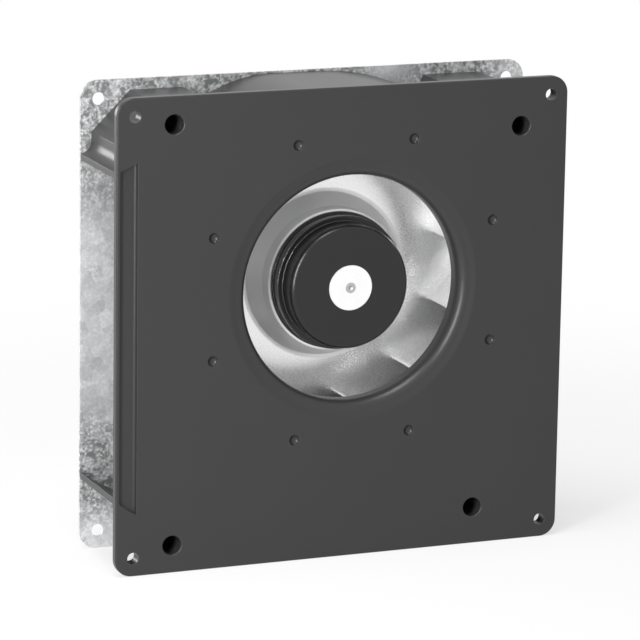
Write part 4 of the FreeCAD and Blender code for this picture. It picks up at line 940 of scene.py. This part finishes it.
class BLOWER_OT_fasteners(bpy.types.Operator):
    """Dress the screws, clinch nuts and retaining clip"""

    bl_idname = "blower.fasteners"
    bl_label = "Fasteners"

    def execute(self, context):
        plated = plated_metal("plated_screws", SCREW_ZINC, roughness=0.34)
        dress(plated, "housing_screws", "flange_screws", "board_screws")
        dress(plated_metal("plated_nuts", NUT_ZINC, roughness=0.36), "clinch_nuts")
        spring = plated_metal("spring_steel", SPRING_STEEL, roughness=0.28, grain=0.25 * MM)
        dress(spring, "retaining_clip", "wave_washer")
        return {"FINISHED"}


class BLOWER_OT_impeller(bpy.types.Operator):
    """Build the ring of blades and dress the impeller"""

    bl_idname = "blower.impeller"
    bl_label = "Impeller"

    def execute(self, context):
        look = context.scene.blower_impeller
        material = bright_sheet(look)
        dress(material, "impeller_disc", "impeller_shroud")
        low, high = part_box("impeller_disc")
        rim = (high.x - low.x) / 2
        ring = BladeTree(look, len(BLADE_NODES), high.y - look.sheet, high.y, rim, material)
        blades = grown("impeller_blades", ring.tree, ring.values)
        if not blades.data.polygons:
            raise RuntimeError("the blade ring came out empty")
        blades.data.shade_smooth()
        blades.data.set_sharp_from_angle(angle=look.crease_angle)
        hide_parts(*BLADE_NODES)
        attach(blades, "rotor")
        return {"FINISHED"}


class BLOWER_OT_rotor(bpy.types.Operator):
    """Dress the rotor's can, hub, shaft and magnets"""

    bl_idname = "blower.rotor"
    bl_label = "Rotor"

    def execute(self, context):
        look = context.scene.blower_motor
        dress(black_coat(look), "rotor_can")
        dress(turned_metal("hub_metal", look.hub_colour, roughness=0.36, metallic=0.6), "rotor_hub")
        turned = turned_metal("shaft_steel", TURNED_STEEL, roughness=0.3, pitch=0.12 * MM)
        dress(turned, "shaft", "bearing_tube")
        ferrite = plain_polymer("ferrite", FERRITE, roughness=0.6, grain=0.3 * MM, depth=0.03 * MM)
        dress(ferrite, "magnet_ring")
        return {"FINISHED"}


class BLOWER_OT_bearings(bpy.types.Operator):
    """Dress the ball bearings"""

    bl_idname = "blower.bearings"
    bl_label = "Bearings"

    def execute(self, context):
        ground = turned_metal(
            "ground_steel", GROUND_STEEL, roughness=0.16, metallic=1.0, pitch=0.1 * MM, marks=0.003 * MM
        )
        dress(ground, "bearing_outer_rings", "bearing_inner_rings", "bearing_balls")
        return {"FINISHED"}


class BLOWER_OT_stator(bpy.types.Operator):
    """Dress the stator, its windings and the circuit board"""

    bl_idname = "blower.stator"
    bl_label = "Stator and Board"

    def execute(self, context):
        look = context.scene.blower_motor
        dress(stacked_steel(STACKED_STEEL), "stator_laminations")
        nylon = plain_polymer("pale_nylon", PALE_NYLON, roughness=0.45, grain=0.4 * MM, depth=0.01 * MM)
        dress(nylon, "front_insulator", "rear_insulator")
        dress(enamelled_copper(look.copper_colour), "stator_coils")
        dress(plated_metal("tinned_pins", TINNED_BRASS, roughness=0.24, grain=0.2 * MM), "coil_pins")
        dress(board_resist(look.board_colour), "circuit_board")
        resin = plain_polymer("chip_resin", CHIP_RESIN, roughness=0.5, grain=0.15 * MM, depth=0.01 * MM)
        dress(resin, "board_chips")
        return {"FINISHED"}


class BLOWER_OT_flange(bpy.types.Operator):
    """Dress the motor flange and the lead grommet"""

    bl_idname = "blower.flange"
    bl_label = "Motor Flange"

    def execute(self, context):
        dress(cast_metal("cast_alloy", CAST_ALLOY, roughness=0.48), "motor_flange")
        rubber = plain_polymer(
            "grommet_rubber", BLACK_RUBBER, roughness=0.7, grain=0.25 * MM, depth=0.02 * MM
        )
        dress(rubber, "lead_grommet")
        return {"FINISHED"}


class BLOWER_OT_stage(bpy.types.Operator):
    """Build the floor, the world, the lamps and the camera"""

    bl_idname = "blower.stage"
    bl_label = "Studio"

    def execute(self, context):
        look = context.scene.blower_stage
        build_floor(look)
        build_world(context.scene, look)
        middle = (CAD_LOW + CAD_HIGH) / 2
        add_lamp("key_lamp", KEY_PLACE, middle, KEY_SIZE, look.key_power)
        add_lamp("top_lamp", TOP_PLACE, middle, TOP_SIZE, look.top_power)
        add_lamp("rim_lamp", RIM_PLACE, middle, RIM_SIZE, look.rim_power)
        build_camera(context.scene, look)
        context.scene.view_settings.view_transform = "Standard"
        return {"FINISHED"}


# Registration

class BLOWER_PT_panel(bpy.types.Panel):
    """The blower's pieces and settings"""

    bl_idname = "BLOWER_PT_panel"
    bl_label = "Blower"
    bl_space_type = "VIEW_3D"
    bl_region_type = "UI"
    bl_category = "Blower"

    def draw(self, context):
        for operator in OPERATORS:
            self.layout.operator(operator.bl_idname)
        for name, group in SETTINGS.items():
            box = self.layout.box()
            settings = getattr(context.scene, name)
            for prop in group.__annotations__:
                box.prop(settings, prop)


SETTINGS = {
    "blower_moulding": MouldingSettings,
    "blower_sheet": SheetSettings,
    "blower_impeller": ImpellerSettings,
    "blower_motor": MotorSettings,
    "blower_stage": StageSettings,
}
OPERATORS = (
    BLOWER_OT_moulding,
    BLOWER_OT_back_sheet,
    BLOWER_OT_fasteners,
    BLOWER_OT_impeller,
    BLOWER_OT_rotor,
    BLOWER_OT_bearings,
    BLOWER_OT_stator,
    BLOWER_OT_flange,
    BLOWER_OT_stage,
)


def register():
    for cls in (*SETTINGS.values(), *OPERATORS, BLOWER_PT_panel):
        bpy.utils.register_class(cls)
    for name, group in SETTINGS.items():
        setattr(bpy.types.Scene, name, bpy.props.PointerProperty(type=group))


def unregister():
    for name in SETTINGS:
        delattr(bpy.types.Scene, name)
    for cls in reversed((*SETTINGS.values(), *OPERATORS, BLOWER_PT_panel)):
        bpy.utils.unregister_class(cls)


def main():
    register()
    for operator in OPERATORS:
        family, name = operator.bl_idname.split(".")
        getattr(getattr(bpy.ops, family), name)()


if __name__ == "__main__":
    main()
